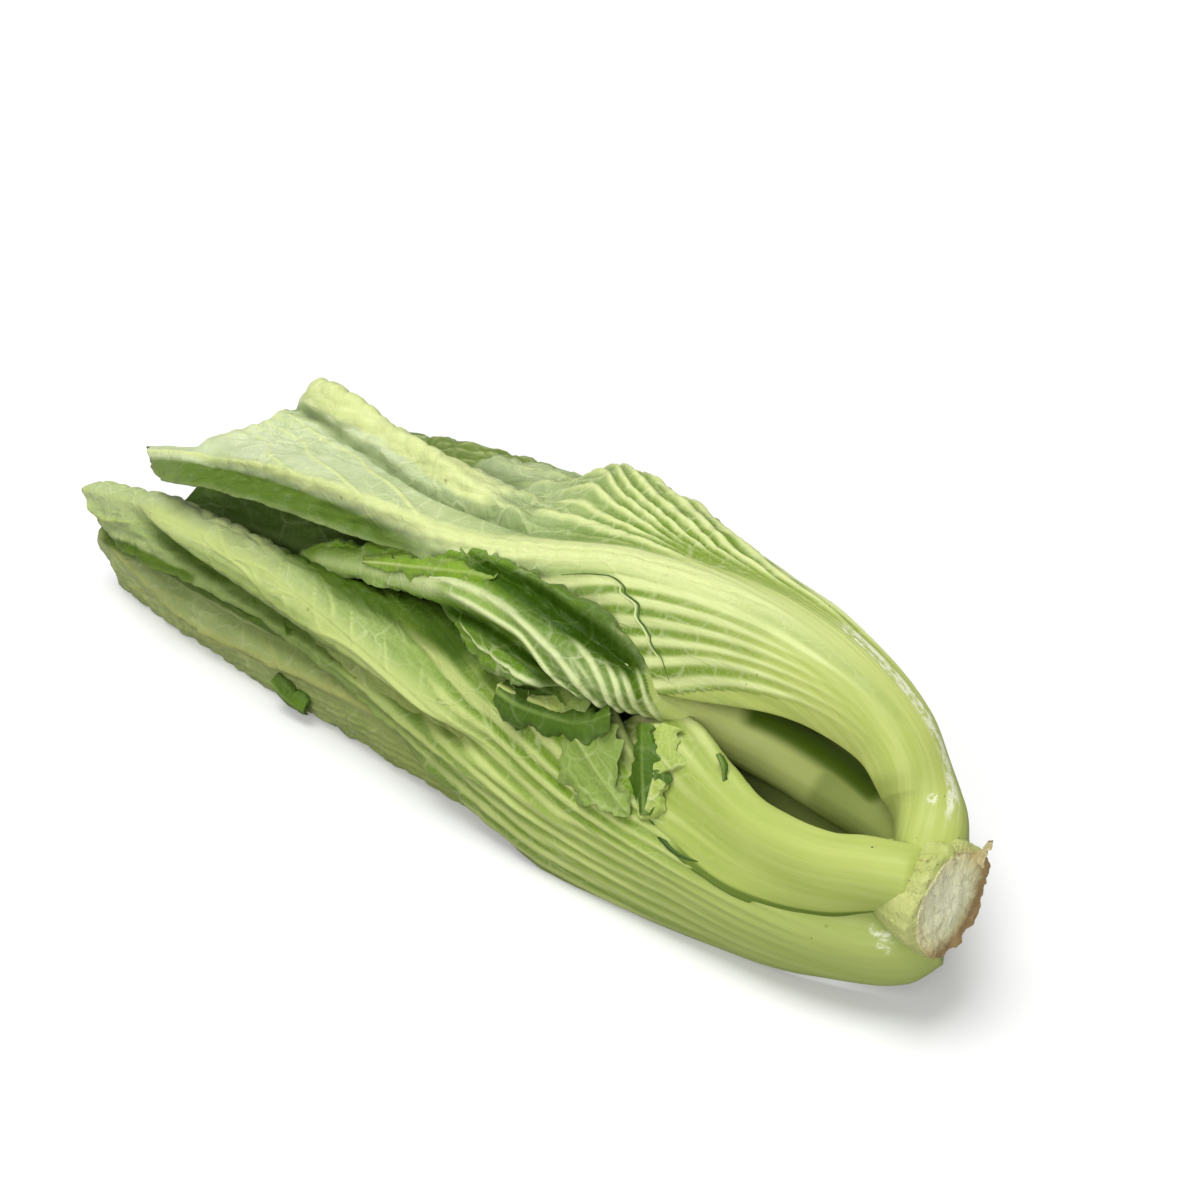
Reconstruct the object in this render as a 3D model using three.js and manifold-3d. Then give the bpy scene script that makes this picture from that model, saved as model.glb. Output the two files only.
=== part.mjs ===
// A head of mustard greens, as picked, lying on its side on a flat surface.
// Millimetres, +Z up, +X along the head towards the cut end of its stem.
// Each leaf is one closed solid: a thick petiole that thins into a cupped blade.
import * as THREE from 'three';
import { mergeVertices } from 'three/addons/utils/BufferGeometryUtils.js';
import Module from 'manifold-3d';

const wasm = await Module();
wasm.setup();

// ---- driving dimensions -------------------------------------------------
const HEAD_CENTRE = [6.5, -11, 0]; // middle of the head's footprint in leaf coordinates
const GAP = 0.35; // clearance kept between neighbours
const WELD = 0.002; // points nearer than this are joined after a cut
const STATIONS = 20; // sections along a leaf
const ACROSS = 4; // steps across half a leaf
const BEND_STEPS = 8; // integration steps in each bend span
const PETIOLE_END = 0.45; // part of a leaf's length over which it thins to blade
const BLADE_THICKNESS = 2.4;
const MARGIN_THICKNESS = 1.6;
const BEND_LIMIT = 0.8; // thickest section, as a share of its tightest bend radius
const STEM = { cutX: 205, y: -36, z: 45, radius: 17.5, length: 52, sides: 28 };

// ---- leaves -------------------------------------------------------------
// spine: points along the outer face of the midrib, foot to tip.
// roll: where the outer face looks, in degrees from +Y towards +Z, foot to tip.
// right and left: half widths, and how far each half bends inwards, in degrees,
// over equal spans from midrib to margin. Every list is spread evenly foot to tip.
const LEAVES = {
  leaf_top: {
    colour: 0xb4c672,
    petiole: 13,
    spine: [
      [197, -29, 53], [187, -22, 71], [167, -17, 88], [136, -12, 99], [98, -8, 100],
      [56, -14, 99], [25, -24, 95], [-4, -32, 93], [-56, -38, 91], [-110, -42, 79], [-160, -44, 64],
    ],
    roll: [62, 75, 88, 90, 90, 90, 90, 90, 90, 90, 90],
    right: {
      width: [19, 19, 19, 23, 32, 52, 76, 72, 60, 50, 8],
      bend: [
        [20, 30, 30, 10], [20, 30, 30, 10], [20, 30, 30, 10], [20, 30, 25, 10],
        [15, 25, 25, 10], [-5, 20, 25, 30], [-12, 18, 30, 40], [-18, 12, 50, 50],
        [-30, 0, 90, 50], [-38, -5, 110, 40], [-20, 20, 60, 20],
      ],
    },
    left: {
      width: [20, 22, 25, 34, 46, 50, 36, 28, 20, 16, 8],
      bend: [[30, 40, 20], [25, 40, 20], [20, 30, 20], [25, 20, 10], [25, 25, 10]],
    },
  },
  leaf_front: {
    colour: 0xbfcb78,
    petiole: 13,
    spine: [
      [196, -46, 54], [180, -56, 54], [160, -61, 52], [136, -60, 50], [112, -56, 52],
      [88, -52, 55], [58, -48, 52], [25, -46, 45], [-6, -44, 38],
    ],
    roll: [165, 170, 170, 165, 160, 155, 150, 150, 150],
    right: {
      width: [16, 16, 15, 15, 19, 24, 26, 20, 8],
      bend: [[30, 40, 20], [20, 30, 20], [10, 10, 10]],
    },
    left: {
      width: [16, 16, 15, 16, 20, 24, 24, 18, 8],
      bend: [[30, 40, 20], [20, 30, 20], [10, 10, 10]],
    },
  },
  leaf_bottom: {
    colour: 0xb5be84,
    petiole: 13,
    spine: [
      [200, -42, 33], [184, -56, 27], [160, -64, 25], [130, -67, 25], [98, -68, 27],
      [61, -68, 32], [21, -66, 39], [-22, -63, 46], [-66, -60, 51], [-113, -57, 51],
      [-160, -54, 46], [-192, -52, 39],
    ],
    roll: [190, 190, 185, 180, 175, 170, 165, 160, 155, 150, 150, 160],
    right: {
      width: [18, 20, 20, 19, 20, 30, 38, 24, 16, 12, 10, 6],
      bend: [[30, 40, 20], [20, 20, 10], [10, 20, 20], [10, 20, 50], [30, 80, 60], [30, 60, 40]],
    },
    left: {
      width: [20, 25, 27, 28, 29, 32, 24, 16, 14, 14, 16, 10],
      bend: [[20, 40, 30], [10, 20, 30], [0, 10, 20], [0, 5, 5], [0, 10, 10]],
    },
  },
  leaf_inner: {
    colour: 0x7d9f45,
    petiole: 14,
    spine: [
      [184, -32, 50], [160, -27, 51], [134, -24, 52], [112, -26, 56], [95, -38, 66],
      [80, -50, 76], [60, -56, 80], [40, -57, 82], [12, -54, 80], [-30, -51, 70], [-79, -48, 55],
    ],
    roll: [150, 150, 150, 145, 140, 140, 145, 150, 150, 150, 150],
    right: {
      width: [13, 15, 17, 17, 18, 20, 22, 22, 16, 10, 6],
      bend: [[30, 40, 20], [20, 30, 30], [0, 20, 30], [0, 30, 60]],
    },
    left: {
      width: [13, 15, 17, 17, 14, 16, 24, 28, 24, 14, 6],
      bend: [[30, 40, 20], [20, 30, 30], [0, 20, 10], [10, 10, 10]],
    },
  },
  leaf_under: {
    colour: 0x9aa65c,
    petiole: 9,
    spine: [
      [192, -36, 26], [160, -40, 17], [120, -50, 14], [82, -62, 12], [48, -65, 15],
      [17, -66, 19], [-17, -66, 23], [-59, -65, 23], [-121, -61, 20], [-166, -57, 18],
      [-189, -54, 18],
    ],
    roll: [230, 220, 205, 200, 190, 185, 180, 180, 180, 180, 180],
    right: {
      width: [10, 11, 13, 18, 22, 24, 24, 24, 24, 16, 6],
      bend: [[30, 30, 20], [10, 10, 10], [10, 20, 30]],
    },
    left: {
      width: [10, 11, 13, 16, 18, 22, 26, 28, 28, 24, 10],
      bend: [[30, 30, 20], [10, 20, 40], [5, 20, 40], [5, 15, 30], [5, 5, 15]],
    },
  },
  leaf_back_upper: {
    colour: 0xa3b868,
    petiole: 13,
    spine: [
      [194, -20, 44], [180, -4, 48], [155, 14, 54], [120, 28, 60], [80, 38, 64],
      [35, 44, 64], [-15, 40, 66], [-65, 28, 68], [-110, 12, 62], [-145, 0, 54],
    ],
    roll: [10, 10, 15, 20, 25, 25, 30, 35, 35, 35],
    right: {
      width: [16, 16, 16, 20, 28, 34, 36, 36, 26, 8],
      bend: [[30, 40, 20], [20, 25, 20], [10, 20, 30], [10, 20, 40]],
    },
    left: {
      width: [16, 16, 16, 20, 26, 30, 38, 44, 34, 8],
      bend: [[30, 40, 20], [20, 25, 20], [10, 30, 30], [10, 40, 30]],
    },
  },
  leaf_back_lower: {
    colour: 0xa6b56e,
    petiole: 13,
    spine: [
      [194, -26, 32], [176, -10, 22], [146, 4, 18], [105, 14, 17], [60, 22, 18],
      [10, 26, 19], [-45, 22, 20], [-100, 10, 20], [-150, -8, 18], [-175, -16, 18],
    ],
    roll: [310, 320, 320, 325, 330, 335, 340, 340, 345, 350],
    right: {
      width: [16, 16, 17, 24, 34, 42, 44, 38, 28, 8],
      bend: [[30, 40, 20], [20, 25, 20], [20, 30, 10], [20, 30, 20]],
    },
    left: {
      width: [16, 16, 16, 20, 26, 32, 34, 30, 22, 8],
      bend: [[30, 40, 20], [20, 25, 20], [10, 20, 30], [10, 20, 30]],
    },
  },
  leaf_base: {
    colour: 0xa9b66f,
    petiole: 9,
    spine: [
      [190, -34, 27], [172, -30, 13], [145, -26, 3], [105, -24, -1], [60, -26, -1],
      [10, -26, -1], [-45, -26, -1], [-100, -28, 0], [-150, -34, 3],
    ],
    roll: [265, 268, 270, 270, 270, 270, 270, 270],
    right: {
      width: [12, 12, 13, 18, 26, 30, 30, 24, 8],
      bend: [[30, 40, 20], [20, 20, 20], [5, 20, 30], [5, 20, 40]],
    },
    left: {
      width: [12, 12, 13, 18, 24, 28, 28, 22, 8],
      bend: [[30, 40, 20], [20, 20, 20], [5, 10, 20], [5, 20, 40]],
    },
  },
  leaf_heart_1: {
    colour: 0x8fae52,
    petiole: 7,
    spine: [
      [170, -12, 40], [130, -4, 46], [90, 0, 52], [45, -6, 60], [0, -18, 66],
      [-50, -26, 62], [-100, -32, 50],
    ],
    roll: [100, 100, 100, 105, 110, 120, 130],
    right: {
      width: [10, 12, 14, 22, 30, 28, 8],
      bend: [[30, 30, 20], [20, 30, 30], [20, 40, 40]],
    },
    left: {
      width: [10, 12, 14, 20, 24, 22, 8],
      bend: [[30, 30, 20], [20, 20, 20], [20, 30, 40]],
    },
  },
  leaf_heart_2: {
    colour: 0x9dba5c,
    petiole: 7,
    spine: [
      [165, -22, 34], [120, -22, 34], [70, -20, 38], [20, -24, 46], [-40, -34, 50],
      [-95, -40, 50], [-150, -44, 46],
    ],
    roll: [160, 160, 160, 150, 150, 150, 150],
    right: {
      width: [8, 10, 14, 20, 24, 22, 8],
      bend: [[30, 30, 20], [10, 10, 20], [10, 20, 40]],
    },
    left: {
      width: [8, 10, 14, 20, 26, 22, 8],
      bend: [[30, 30, 20], [10, 10, 10], [10, 10, 20]],
    },
  },
  leaf_heart_3: {
    colour: 0xa4bf63,
    petiole: 7,
    spine: [
      [160, -30, 26], [120, -26, 20], [70, -18, 18], [20, -14, 22], [-40, -18, 28],
      [-95, -26, 30], [-140, -32, 28],
    ],
    roll: [270, 280, 290, 300, 300, 290, 280],
    right: {
      width: [8, 10, 14, 20, 24, 20, 8],
      bend: [[30, 30, 20], [10, 20, 20], [10, 20, 40]],
    },
    left: {
      width: [8, 10, 14, 20, 24, 20, 8],
      bend: [[30, 30, 20], [10, 20, 20], [10, 20, 30]],
    },
  },
};

// ---- leaf surface -------------------------------------------------------
// Smooth value of an evenly spread list of numbers or rows, at u from 0 to 1.
function along(list, u) {
  const span = Math.min(Math.max(u, 0), 1) * (list.length - 1);
  const i = Math.min(Math.floor(span), list.length - 2);
  const t = span - i;
  const at = (k, c) => (Array.isArray(list[k]) ? list[k][c] : list[k]);
  const last = list.length - 1;
  const value = (c) => {
    const p1 = at(i, c);
    const p2 = at(i + 1, c);
    const p0 = i > 0 ? at(i - 1, c) : 2 * p1 - p2;
    const p3 = i + 1 < last ? at(i + 2, c) : 2 * p2 - p1;
    const linear = (p2 - p0) * t;
    const square = (2 * p0 - 5 * p1 + 4 * p2 - p3) * t * t;
    const cube = (3 * p1 - p0 - 3 * p2 + p3) * t * t * t;
    return 0.5 * (2 * p1 + linear + square + cube);
  };
  return Array.isArray(list[0]) ? list[0].map((_, c) => value(c)) : value(0);
}

// Midrib point and the leaf's own directions there.
function spineFrame(leaf, u) {
  const step = 0.001;
  const origin = new THREE.Vector3(...along(leaf.spine, u));
  const ahead = new THREE.Vector3(...along(leaf.spine, Math.min(u + step, 1)));
  const behind = new THREE.Vector3(...along(leaf.spine, Math.max(u - step, 0)));
  const forward = ahead.sub(behind).normalize();
  const angle = THREE.MathUtils.degToRad(along(leaf.roll, u));
  const outward = new THREE.Vector3(0, Math.cos(angle), Math.sin(angle));
  outward.addScaledVector(forward, -outward.dot(forward)).normalize();
  const side = new THREE.Vector3().crossVectors(forward, outward);
  return { origin, forward, outward, side };
}

// Outer-face points and normals of one half section, midrib to margin.
function halfSection(half, frame, u, sign, extra) {
  const bends = along(half.bend, u).map(THREE.MathUtils.degToRad);
  const width = along(half.width, u) + extra;
  const steps = bends.length * BEND_STEPS;
  const points = [];
  let across = 0;
  let inward = 0;
  for (let k = 0; k <= steps; k += 1) {
    const place = (k / steps) * bends.length;
    const whole = Math.min(Math.floor(place), bends.length - 1);
    const before = bends.slice(0, whole).reduce((sum, bend) => sum + bend, 0);
    const angle = before + bends[whole] * (place - whole);
    if (k > 0) {
      across += (Math.cos(angle) * width) / steps;
      inward += (Math.sin(angle) * width) / steps;
    }
    if (k % (steps / ACROSS) === 0) {
      const point = frame.origin.clone();
      point.addScaledVector(frame.side, sign * across).addScaledVector(frame.outward, -inward);
      const normal = frame.outward.clone().multiplyScalar(Math.cos(angle));
      normal.addScaledVector(frame.side, sign * Math.sin(angle));
      points.push({ point, normal });
    }
  }
  return points;
}

// How much of a petiole a leaf still is at u: 1 at its foot, 0 in its blade.
function petioleShare(u) {
  return 1 - THREE.MathUtils.smoothstep(u, 0, PETIOLE_END);
}

// The tightest radius that the outer face is bent to at u.
function tightestRadius(leaf, u) {
  const radii = [leaf.right, leaf.left].flatMap((half) => {
    const bends = along(half.bend, u).map(THREE.MathUtils.degToRad);
    const span = along(half.width, u) / bends.length;
    return bends.map((bend) => span / Math.max(bend, 0.01));
  });
  return Math.min(...radii);
}

// Full thickness at u, and at the fraction q of the way from midrib to margin.
function thickness(leaf, u, q) {
  const share = petioleShare(u);
  const blade = Math.min(BLADE_THICKNESS, BEND_LIMIT * tightestRadius(leaf, u));
  const middle = THREE.MathUtils.lerp(Math.max(blade, MARGIN_THICKNESS), leaf.petiole, share);
  return MARGIN_THICKNESS + (middle - MARGIN_THICKNESS) * (1 - q * q);
}

// One ring of section points: along the outer face, then back along the inner one.
// A petiole's inner face is flat, and a blade's follows its outer face.
function ring(leaf, u, grow) {
  const frame = spineFrame(leaf, u);
  const share = petioleShare(u);
  frame.origin.addScaledVector(frame.forward, u === 0 ? -grow : u === 1 ? grow : 0);
  const right = halfSection(leaf.right, frame, u, 1, grow);
  const left = halfSection(leaf.left, frame, u, -1, grow);
  const outer = [...left.reverse(), ...right.slice(1)];
  const last = outer.length - 1;
  const lifted = outer.map(({ point, normal }) => point.clone().addScaledVector(normal, grow));
  const sunk = outer.map(({ point, normal }, k) => {
    const q = Math.abs(k - last / 2) / (last / 2);
    const inward = normal.clone().lerp(frame.outward, share).normalize();
    return point.clone().addScaledVector(inward, -thickness(leaf, u, q) - grow);
  });
  return [...lifted, ...sunk.reverse()];
}

// Closed loft through rings of equal length, with a fan over each end ring.
function loft(rings) {
  const size = rings[0].length;
  const positions = rings.flatMap((points) => points.flatMap((p) => [p.x, p.y, p.z]));
  const faces = [];
  for (let r = 0; r + 1 < rings.length; r += 1) {
    for (let k = 0; k < size; k += 1) {
      const next = (k + 1) % size;
      const a = r * size + k;
      const b = r * size + next;
      faces.push(a, b, a + size, b, b + size, a + size);
    }
  }
  const end = (rings.length - 1) * size;
  const half = size / 2;
  for (let k = 0; k + 1 < half; k += 1) {
    const mirror = size - 1 - k;
    faces.push(k, mirror, k + 1, k + 1, mirror, mirror - 1);
    faces.push(end + k, end + k + 1, end + mirror, end + k + 1, end + mirror - 1, end + mirror);
  }
  const geometry = new THREE.BufferGeometry();
  geometry.setAttribute('position', new THREE.Float32BufferAttribute(positions, 3));
  geometry.setIndex(faces);
  return geometry;
}

function leafGeometry(leaf, grow = 0) {
  const rings = [];
  for (let r = 0; r < STATIONS; r += 1) {
    rings.push(ring(leaf, r / (STATIONS - 1), grow));
  }
  return loft(rings);
}

// ---- stem ---------------------------------------------------------------
// The short stem: a turned plug from the flat cut face, tapering in among the petioles.
function stemGeometry(grow = 0) {
  const { radius, length, sides } = STEM;
  const profile = [
    [0, 0], [0.9 * radius, 0], [radius, 0.05 * length], [0.98 * radius, 0.2 * length],
    [0.78 * radius, 0.45 * length], [0.5 * radius, 0.75 * length], [0.2 * radius, length], [0, length],
  ];
  const grown = profile.map(([r, along_]) => {
    const wide = r > 0 ? r + grow : 0;
    return new THREE.Vector2(wide, along_ === 0 ? -grow : along_ + grow);
  });
  const geometry = new THREE.LatheGeometry(grown, sides);
  geometry.rotateZ(Math.PI / 2);
  geometry.translate(STEM.cutX, STEM.y, STEM.z);
  return geometry;
}

// ---- solids -------------------------------------------------------------
function toSolid(geometry) {
  const bare = geometry.clone();
  bare.deleteAttribute('normal');
  bare.deleteAttribute('uv');
  const welded = mergeVertices(bare, 1e-4);
  const solid = new wasm.Manifold(new wasm.Mesh({
    numProp: 3,
    vertProperties: new Float32Array(welded.attributes.position.array),
    triVerts: new Uint32Array(welded.index.array),
  }));
  return solid;
}

// Welds the slivers that a cut leaves, and drops the triangles that collapse.
function toGeometry(solid) {
  const mesh = solid.getMesh();
  const cut = new THREE.BufferGeometry();
  cut.setAttribute('position', new THREE.BufferAttribute(new Float32Array(mesh.vertProperties), 3));
  cut.setIndex(new THREE.BufferAttribute(new Uint32Array(mesh.triVerts), 1));
  const welded = mergeVertices(cut, WELD);
  const index = welded.index.array;
  const faces = [];
  for (let k = 0; k < index.length; k += 3) {
    const [a, b, c] = [index[k], index[k + 1], index[k + 2]];
    if (a !== b && b !== c && c !== a) {
      faces.push(a, b, c);
    }
  }
  welded.setIndex(faces);
  welded.computeVertexNormals();
  return welded;
}

function largestBody(solid) {
  const bodies = solid.decompose();
  return bodies.reduce((best, body) => (body.volume() > best.volume() ? body : best));
}

// Everything below the surface that the head lies on.
function belowSurface() {
  const size = 600;
  const block = new THREE.BoxGeometry(size, size, size);
  block.translate(0, 0, -size / 2);
  return toSolid(block);
}

// ---- assembly -----------------------------------------------------------
const head = new THREE.Group();
head.position.set(-HEAD_CENTRE[0], -HEAD_CENTRE[1], -HEAD_CENTRE[2]);

function addPiece(name, solid, colour, roughness) {
  const material = new THREE.MeshStandardMaterial({ color: colour, roughness, metalness: 0 });
  const mesh = new THREE.Mesh(toGeometry(solid), material);
  mesh.name = name;
  head.add(mesh);
}

const floor = belowSurface();
addPiece('stem_core', toSolid(stemGeometry()), 0xcdd283, 0.6);

// Leaves are placed in order, and each is cut back from those before it.
const taken = [toSolid(stemGeometry(GAP))];
for (const [name, leaf] of Object.entries(LEAVES)) {
  let solid = toSolid(leafGeometry(leaf)).subtract(floor);
  for (const neighbour of taken) {
    solid = solid.subtract(neighbour);
  }
  addPiece(name, largestBody(solid), leaf.colour, 0.55);
  taken.push(toSolid(leafGeometry(leaf, GAP)).add(toSolid(leafGeometry(leaf))));
}

const group = new THREE.Group();
group.add(head);

export default group;
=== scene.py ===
"""A head of mustard greens lying on its side: leaves, stem and finish, in metres."""

import math

import bpy
import numpy as np
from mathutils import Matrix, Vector


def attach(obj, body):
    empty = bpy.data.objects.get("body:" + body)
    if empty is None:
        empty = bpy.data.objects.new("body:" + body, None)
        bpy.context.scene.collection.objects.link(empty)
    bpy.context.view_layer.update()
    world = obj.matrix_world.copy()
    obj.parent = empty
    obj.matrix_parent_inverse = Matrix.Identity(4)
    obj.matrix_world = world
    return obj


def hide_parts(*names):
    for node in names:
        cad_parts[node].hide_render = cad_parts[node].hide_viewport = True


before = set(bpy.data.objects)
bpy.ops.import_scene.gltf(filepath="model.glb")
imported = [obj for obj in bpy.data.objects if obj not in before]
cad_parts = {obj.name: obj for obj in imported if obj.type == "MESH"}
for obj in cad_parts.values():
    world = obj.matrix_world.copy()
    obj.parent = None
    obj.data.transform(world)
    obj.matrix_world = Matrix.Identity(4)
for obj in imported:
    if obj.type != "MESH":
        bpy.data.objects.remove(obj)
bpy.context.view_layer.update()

bl_info = {
    "name": "Mustard Greens",
    "version": (1, 0, 0),
    "blender": (4, 5, 0),
    "location": "View3D > Sidebar > Greens",
    "description": "Builds a head of mustard greens with ribbed, folded leaves",
    "category": "Add Mesh",
}

# ---- sizes -------------------------------------------------------------------
MM = 0.001  # the leaf tables and the lengths below are in millimetres
HEAD_CENTRE = np.array([6.5, -11.0, 0.0])  # middle of the footprint, in leaf coordinates
FLOOR_CLEARANCE = 0.2
UV_PER_METRE = 10
FULL_TURN = 6.28

# a leaf's foot, tip and margin
PETIOLE_END = 0.45  # share of a leaf's length over which it thins to blade
FOOT_END = 0.05  # share of its length over which a petiole sinks into the stem
FOOT_DEPTH = 7.0
FOOT_NARROWING = 0.25  # share of its width that a petiole loses there
TIP_START = 0.95  # where a leaf begins to round off to its tip
TIP_LEAST = 0.02
TEETH = [0, 0, 0, 0.06, 0.06, 0.06]  # depth of the margin's teeth from foot to tip, as a share of the width
TOOTH_LENGTH = 9
SIDES_APART = 7.3  # step in the noise between the teeth of one margin and the other's
BEND_STEPS = 20  # integration steps in each bend span

# ribs that fan out from the midrib
RIB_STEP = 0.18  # log spacing of the ribs
RIB_ROOT = 8.0  # distance from the midrib at which rib spacing starts to widen
RIB_ROUNDING = 0.8
PLEAT_FROM = (2, 10)  # distances from the midrib over which the folds between ribs set in
RIB_PALE_FROM = (1, 6)  # and over which the ribs pale
MIDRIB_EDGE = (-0.5, 3)  # distances past the midrib's edge over which the painted shade beyond it sets in

# ribs along a leaf's own lanes
RIB_WIDTH = 2.4  # half width of a full rib where ribs stand apart
RIB_SPREAD = 0.28  # half width of a rib as a share of the gap where they crowd
RIB_GAPS = (0.8, 4.5)  # gaps over which a rib comes up, where lanes part
BLADE_GAPS = (2, 7)  # and over which green blade shows between ribs
MINOR_RIB_WIDTH = 1.1
MINOR_RIB_HEIGHT = 0.45  # as a share of a full rib
MINOR_RIB_GAPS = (6, 10)
LANE_SMOOTHING = 6  # grid rows over which a lane's corners are rounded
LEAST_GAP = 0.3
WIDENING_GAP = 3  # least spacing of the lanes beyond the first and last
LANES_BEYOND = 30  # lanes carried on past the first and last
LANE_FADE = (-0.05, 0.02)  # u, from the end of a lane, over which its rib dies away
RIB_BEND = 0.6  # share of a rib's height that folds the whole blade; the rest thickens it
RIB_THICKENING = 0.4
GREEN_BETWEEN = 0.7  # how far the blade between ribs turns green

# Uneven shapes: wave length along the leaf, wave length across it, and height.
LONG_FOLD = (90, 20, 2.6)
DENT = (26, 11, 0.9)
RUFFLE = (14, 30, 2.0)
RUFFLE_FROM = (0.55, 1.0)  # share of the half width over which the margin's waves grow
RUFFLES_APART = 4  # step in the noise between the waves of one margin and the other's
LANE_DRIFT = (70, 28, 0.7)  # its height is in ribs
BLISTER = (10, 8)
BLISTER_FROM = (2, 7)  # distances from the midrib over which blisters set in
PETIOLE_UNEVENNESS = 0.12  # share of the blade's folds and dents that a petiole has
CELL_INSET = 0.15  # how far a blister's middle keeps from the border of its cell
DOME_EDGE = 0.6

# curves drawn on a leaf
CURVE_STEPS = 6  # straight steps for each point of a curve
VEIN_TAPER = 0.65  # share of its width that a vein loses towards its tip
VEIN_SINKING = 0.5  # and share of its height
FULL_VEIN = 0.8  # height from which a vein is at its palest
CREASE_SHADE = 0.11  # how quickly painted shade deepens down a fold, for each millimetre
FOLD_HIGHLIGHT = 0.07  # and how quickly a painted highlight pales a leaf up one

# fine lines
LINE_STEPS = 16
LINE_RISE = 0.15  # how far a fine line stands above the leaf
LINE_DEPTH = 0.4
LINE_WANDER = 0.0016  # and how far it strays, as a share of the leaf's length
WANDER_LENGTH = 1.8
WANDER_SEED = 77
LINE_TAPER = 0.75
BESIDE, AHEAD = (0, 0.8), (0.002, 0)  # (u, s) steps that give the slope of the leaf under a line

# stem
STEM = {"cut": 201.5, "y": -36.0, "z": 45.0, "length": 38.0, "lean": 0.1}
STEM_GRID = (90, 200)
# Radius and depth of its outline, as shares, from the middle of the cut out over the rim and back.
STEM_RADII = [0, 0.5, 0.92, 1.0, 1.05, 1.08, 1.04, 0.95, 0.8, 0.6, 0.35, 0.0]
STEM_DEPTHS = [0, 0, 0, 0.02, 0.07, 0.14, 0.24, 0.38, 0.54, 0.7, 0.86, 1]
RIM_AT, RIM_SPAN = 0.22, 0.07  # place and half width of the rim on that outline
FACE_END = (0.17, 0.27)
BUTTRESS_FROM = (0.2, 0.4)
STRANDS_FROM, STRANDS_TO = (0.2, 0.35), (0.4, 0.6)
LEAN_TO = (0.3, 0.8)
BEVEL_TO = (0.25, 0.6)
BEVEL_UP, BEVEL_FRONT = 0.66, 0.75  # the bevel runs back up and towards the front
BEVEL_SPAN = (-6, 17)
BEVEL_BROWNING = 0.022  # how much less brown it is on that side, for each millimetre
BUTTRESS, TEAR, STRAND = 2.4, 0.7, 0.08  # heights
CHIP_OUT, CHIP_BACK = 1.0, 1.5
DISH = 1.6  # how far the middle of the cut has sunk
LUMPS, CHIPS, TEARS, STRANDS = 3, 1.6, 34, 20  # how fine their noise is
NOISE_AT = (7, 9)

# ---- leaves ------------------------------------------------------------------
# u is the share of a leaf's length from foot to tip, and s the distance from its spine, positive
# to the right. A list of plain numbers is read at even steps of u.
#   slot: material slot. grid: steps along and across. seed: for its noise. end: the u at which it is
#   torn off. foot: how deep it sits in the stem. petiole: thickness there.
#   spine: points along its outer face, foot to tip. roll: where that face looks, in degrees from +Y
#   towards +Z. midrib, midrib_at, midrib_width and midrib_pale: the midrib's height, place, half
#   width and paleness. rib: paleness of the ribs. green: how far petiole has turned to blade.
#   pucker: height of the blisters between veins. teeth, tooth: depth and length of the margin's teeth.
#   right, left, both: half widths; bends inwards in degrees over equal spans from midrib to margin;
#   fan, the rate at which ribs spread, per metre; pleat, the depth of the folds between ribs;
#   ruffle, the height of the margin's waves; dark, the painted shade beyond the midrib.
#   lanes: the (u, s) course of each rib. lane_rise, lane_end: height and last u of each.
#   lane_reach: how far the lanes stand out. rib_width: their greatest half width.
#   folds, veins: (u, s) course, half width or one for each side, and height.
#   shades, paler, scuffs_and_highlights: (u, s) course and half width of what is painted there, and its
#   strength. Shades are mostly painted shade in hollows, folds and gaps; scuffs are pale streaks of rubbed
#   skin with a painted highlight along an edge.

# The crack across the ribs of leaf_top, the crease down the blade of leaf_inner, and what like leaves share.
CRACK = [
    (0.575, -17.5), (0.55, -17), (0.52, -17), (0.5, -19), (0.49, -22), (0.476, -24), (0.47, -28), (0.46, -30.5),
    (0.45, -35), (0.438, -38), (0.43, -43),
]
CREASE = [(0.84, 12), (0.76, 12), (0.7, 12), (0.64, 10.5), (0.58, 9), (0.53, 6.5), (0.48, 4)]
BACK_LEAF = {
    "slot": "outer_leaf", "petiole": 13, "midrib": [0, 0, 0.4, 1.0, 1.4, 1.4, 1.2, 1.0, 0.6],
    "midrib_width": [10, 10, 9, 8, 7, 6, 5, 4, 3], "rib": [0, 0, 0.1, 0.4, 0.5, 0.4, 0.2],
    "green": [0, 0, 0.1, 0.4, 0.7, 0.9, 1], "midrib_pale": [0, 0, 0.3, 0.7, 0.9, 0.8, 0.6],
    "both": {"fan": [0, 0, 4, 10, 12, 12, 10, 10], "pleat": [0, 0, 0.2, 0.8, 1.2, 1.0, 0.6, 0.4]},
}
HEART_LEAF = {
    "slot": "inner_leaf", "petiole": 7, "midrib": [0, 0, 0.3, 0.8, 1.0, 0.8, 0.6],
    "midrib_width": [6, 6, 5, 4.5, 4, 3, 2], "rib": [0, 0, 0.2, 0.3, 0.3, 0.2], "green": [0, 0.1, 0.5, 0.9, 1, 1],
    "midrib_pale": [0, 0, 0.3, 0.6, 0.6, 0.5], "pucker": [0, 0, 0.3, 0.8, 1.2, 1.4, 1.4],
}
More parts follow.
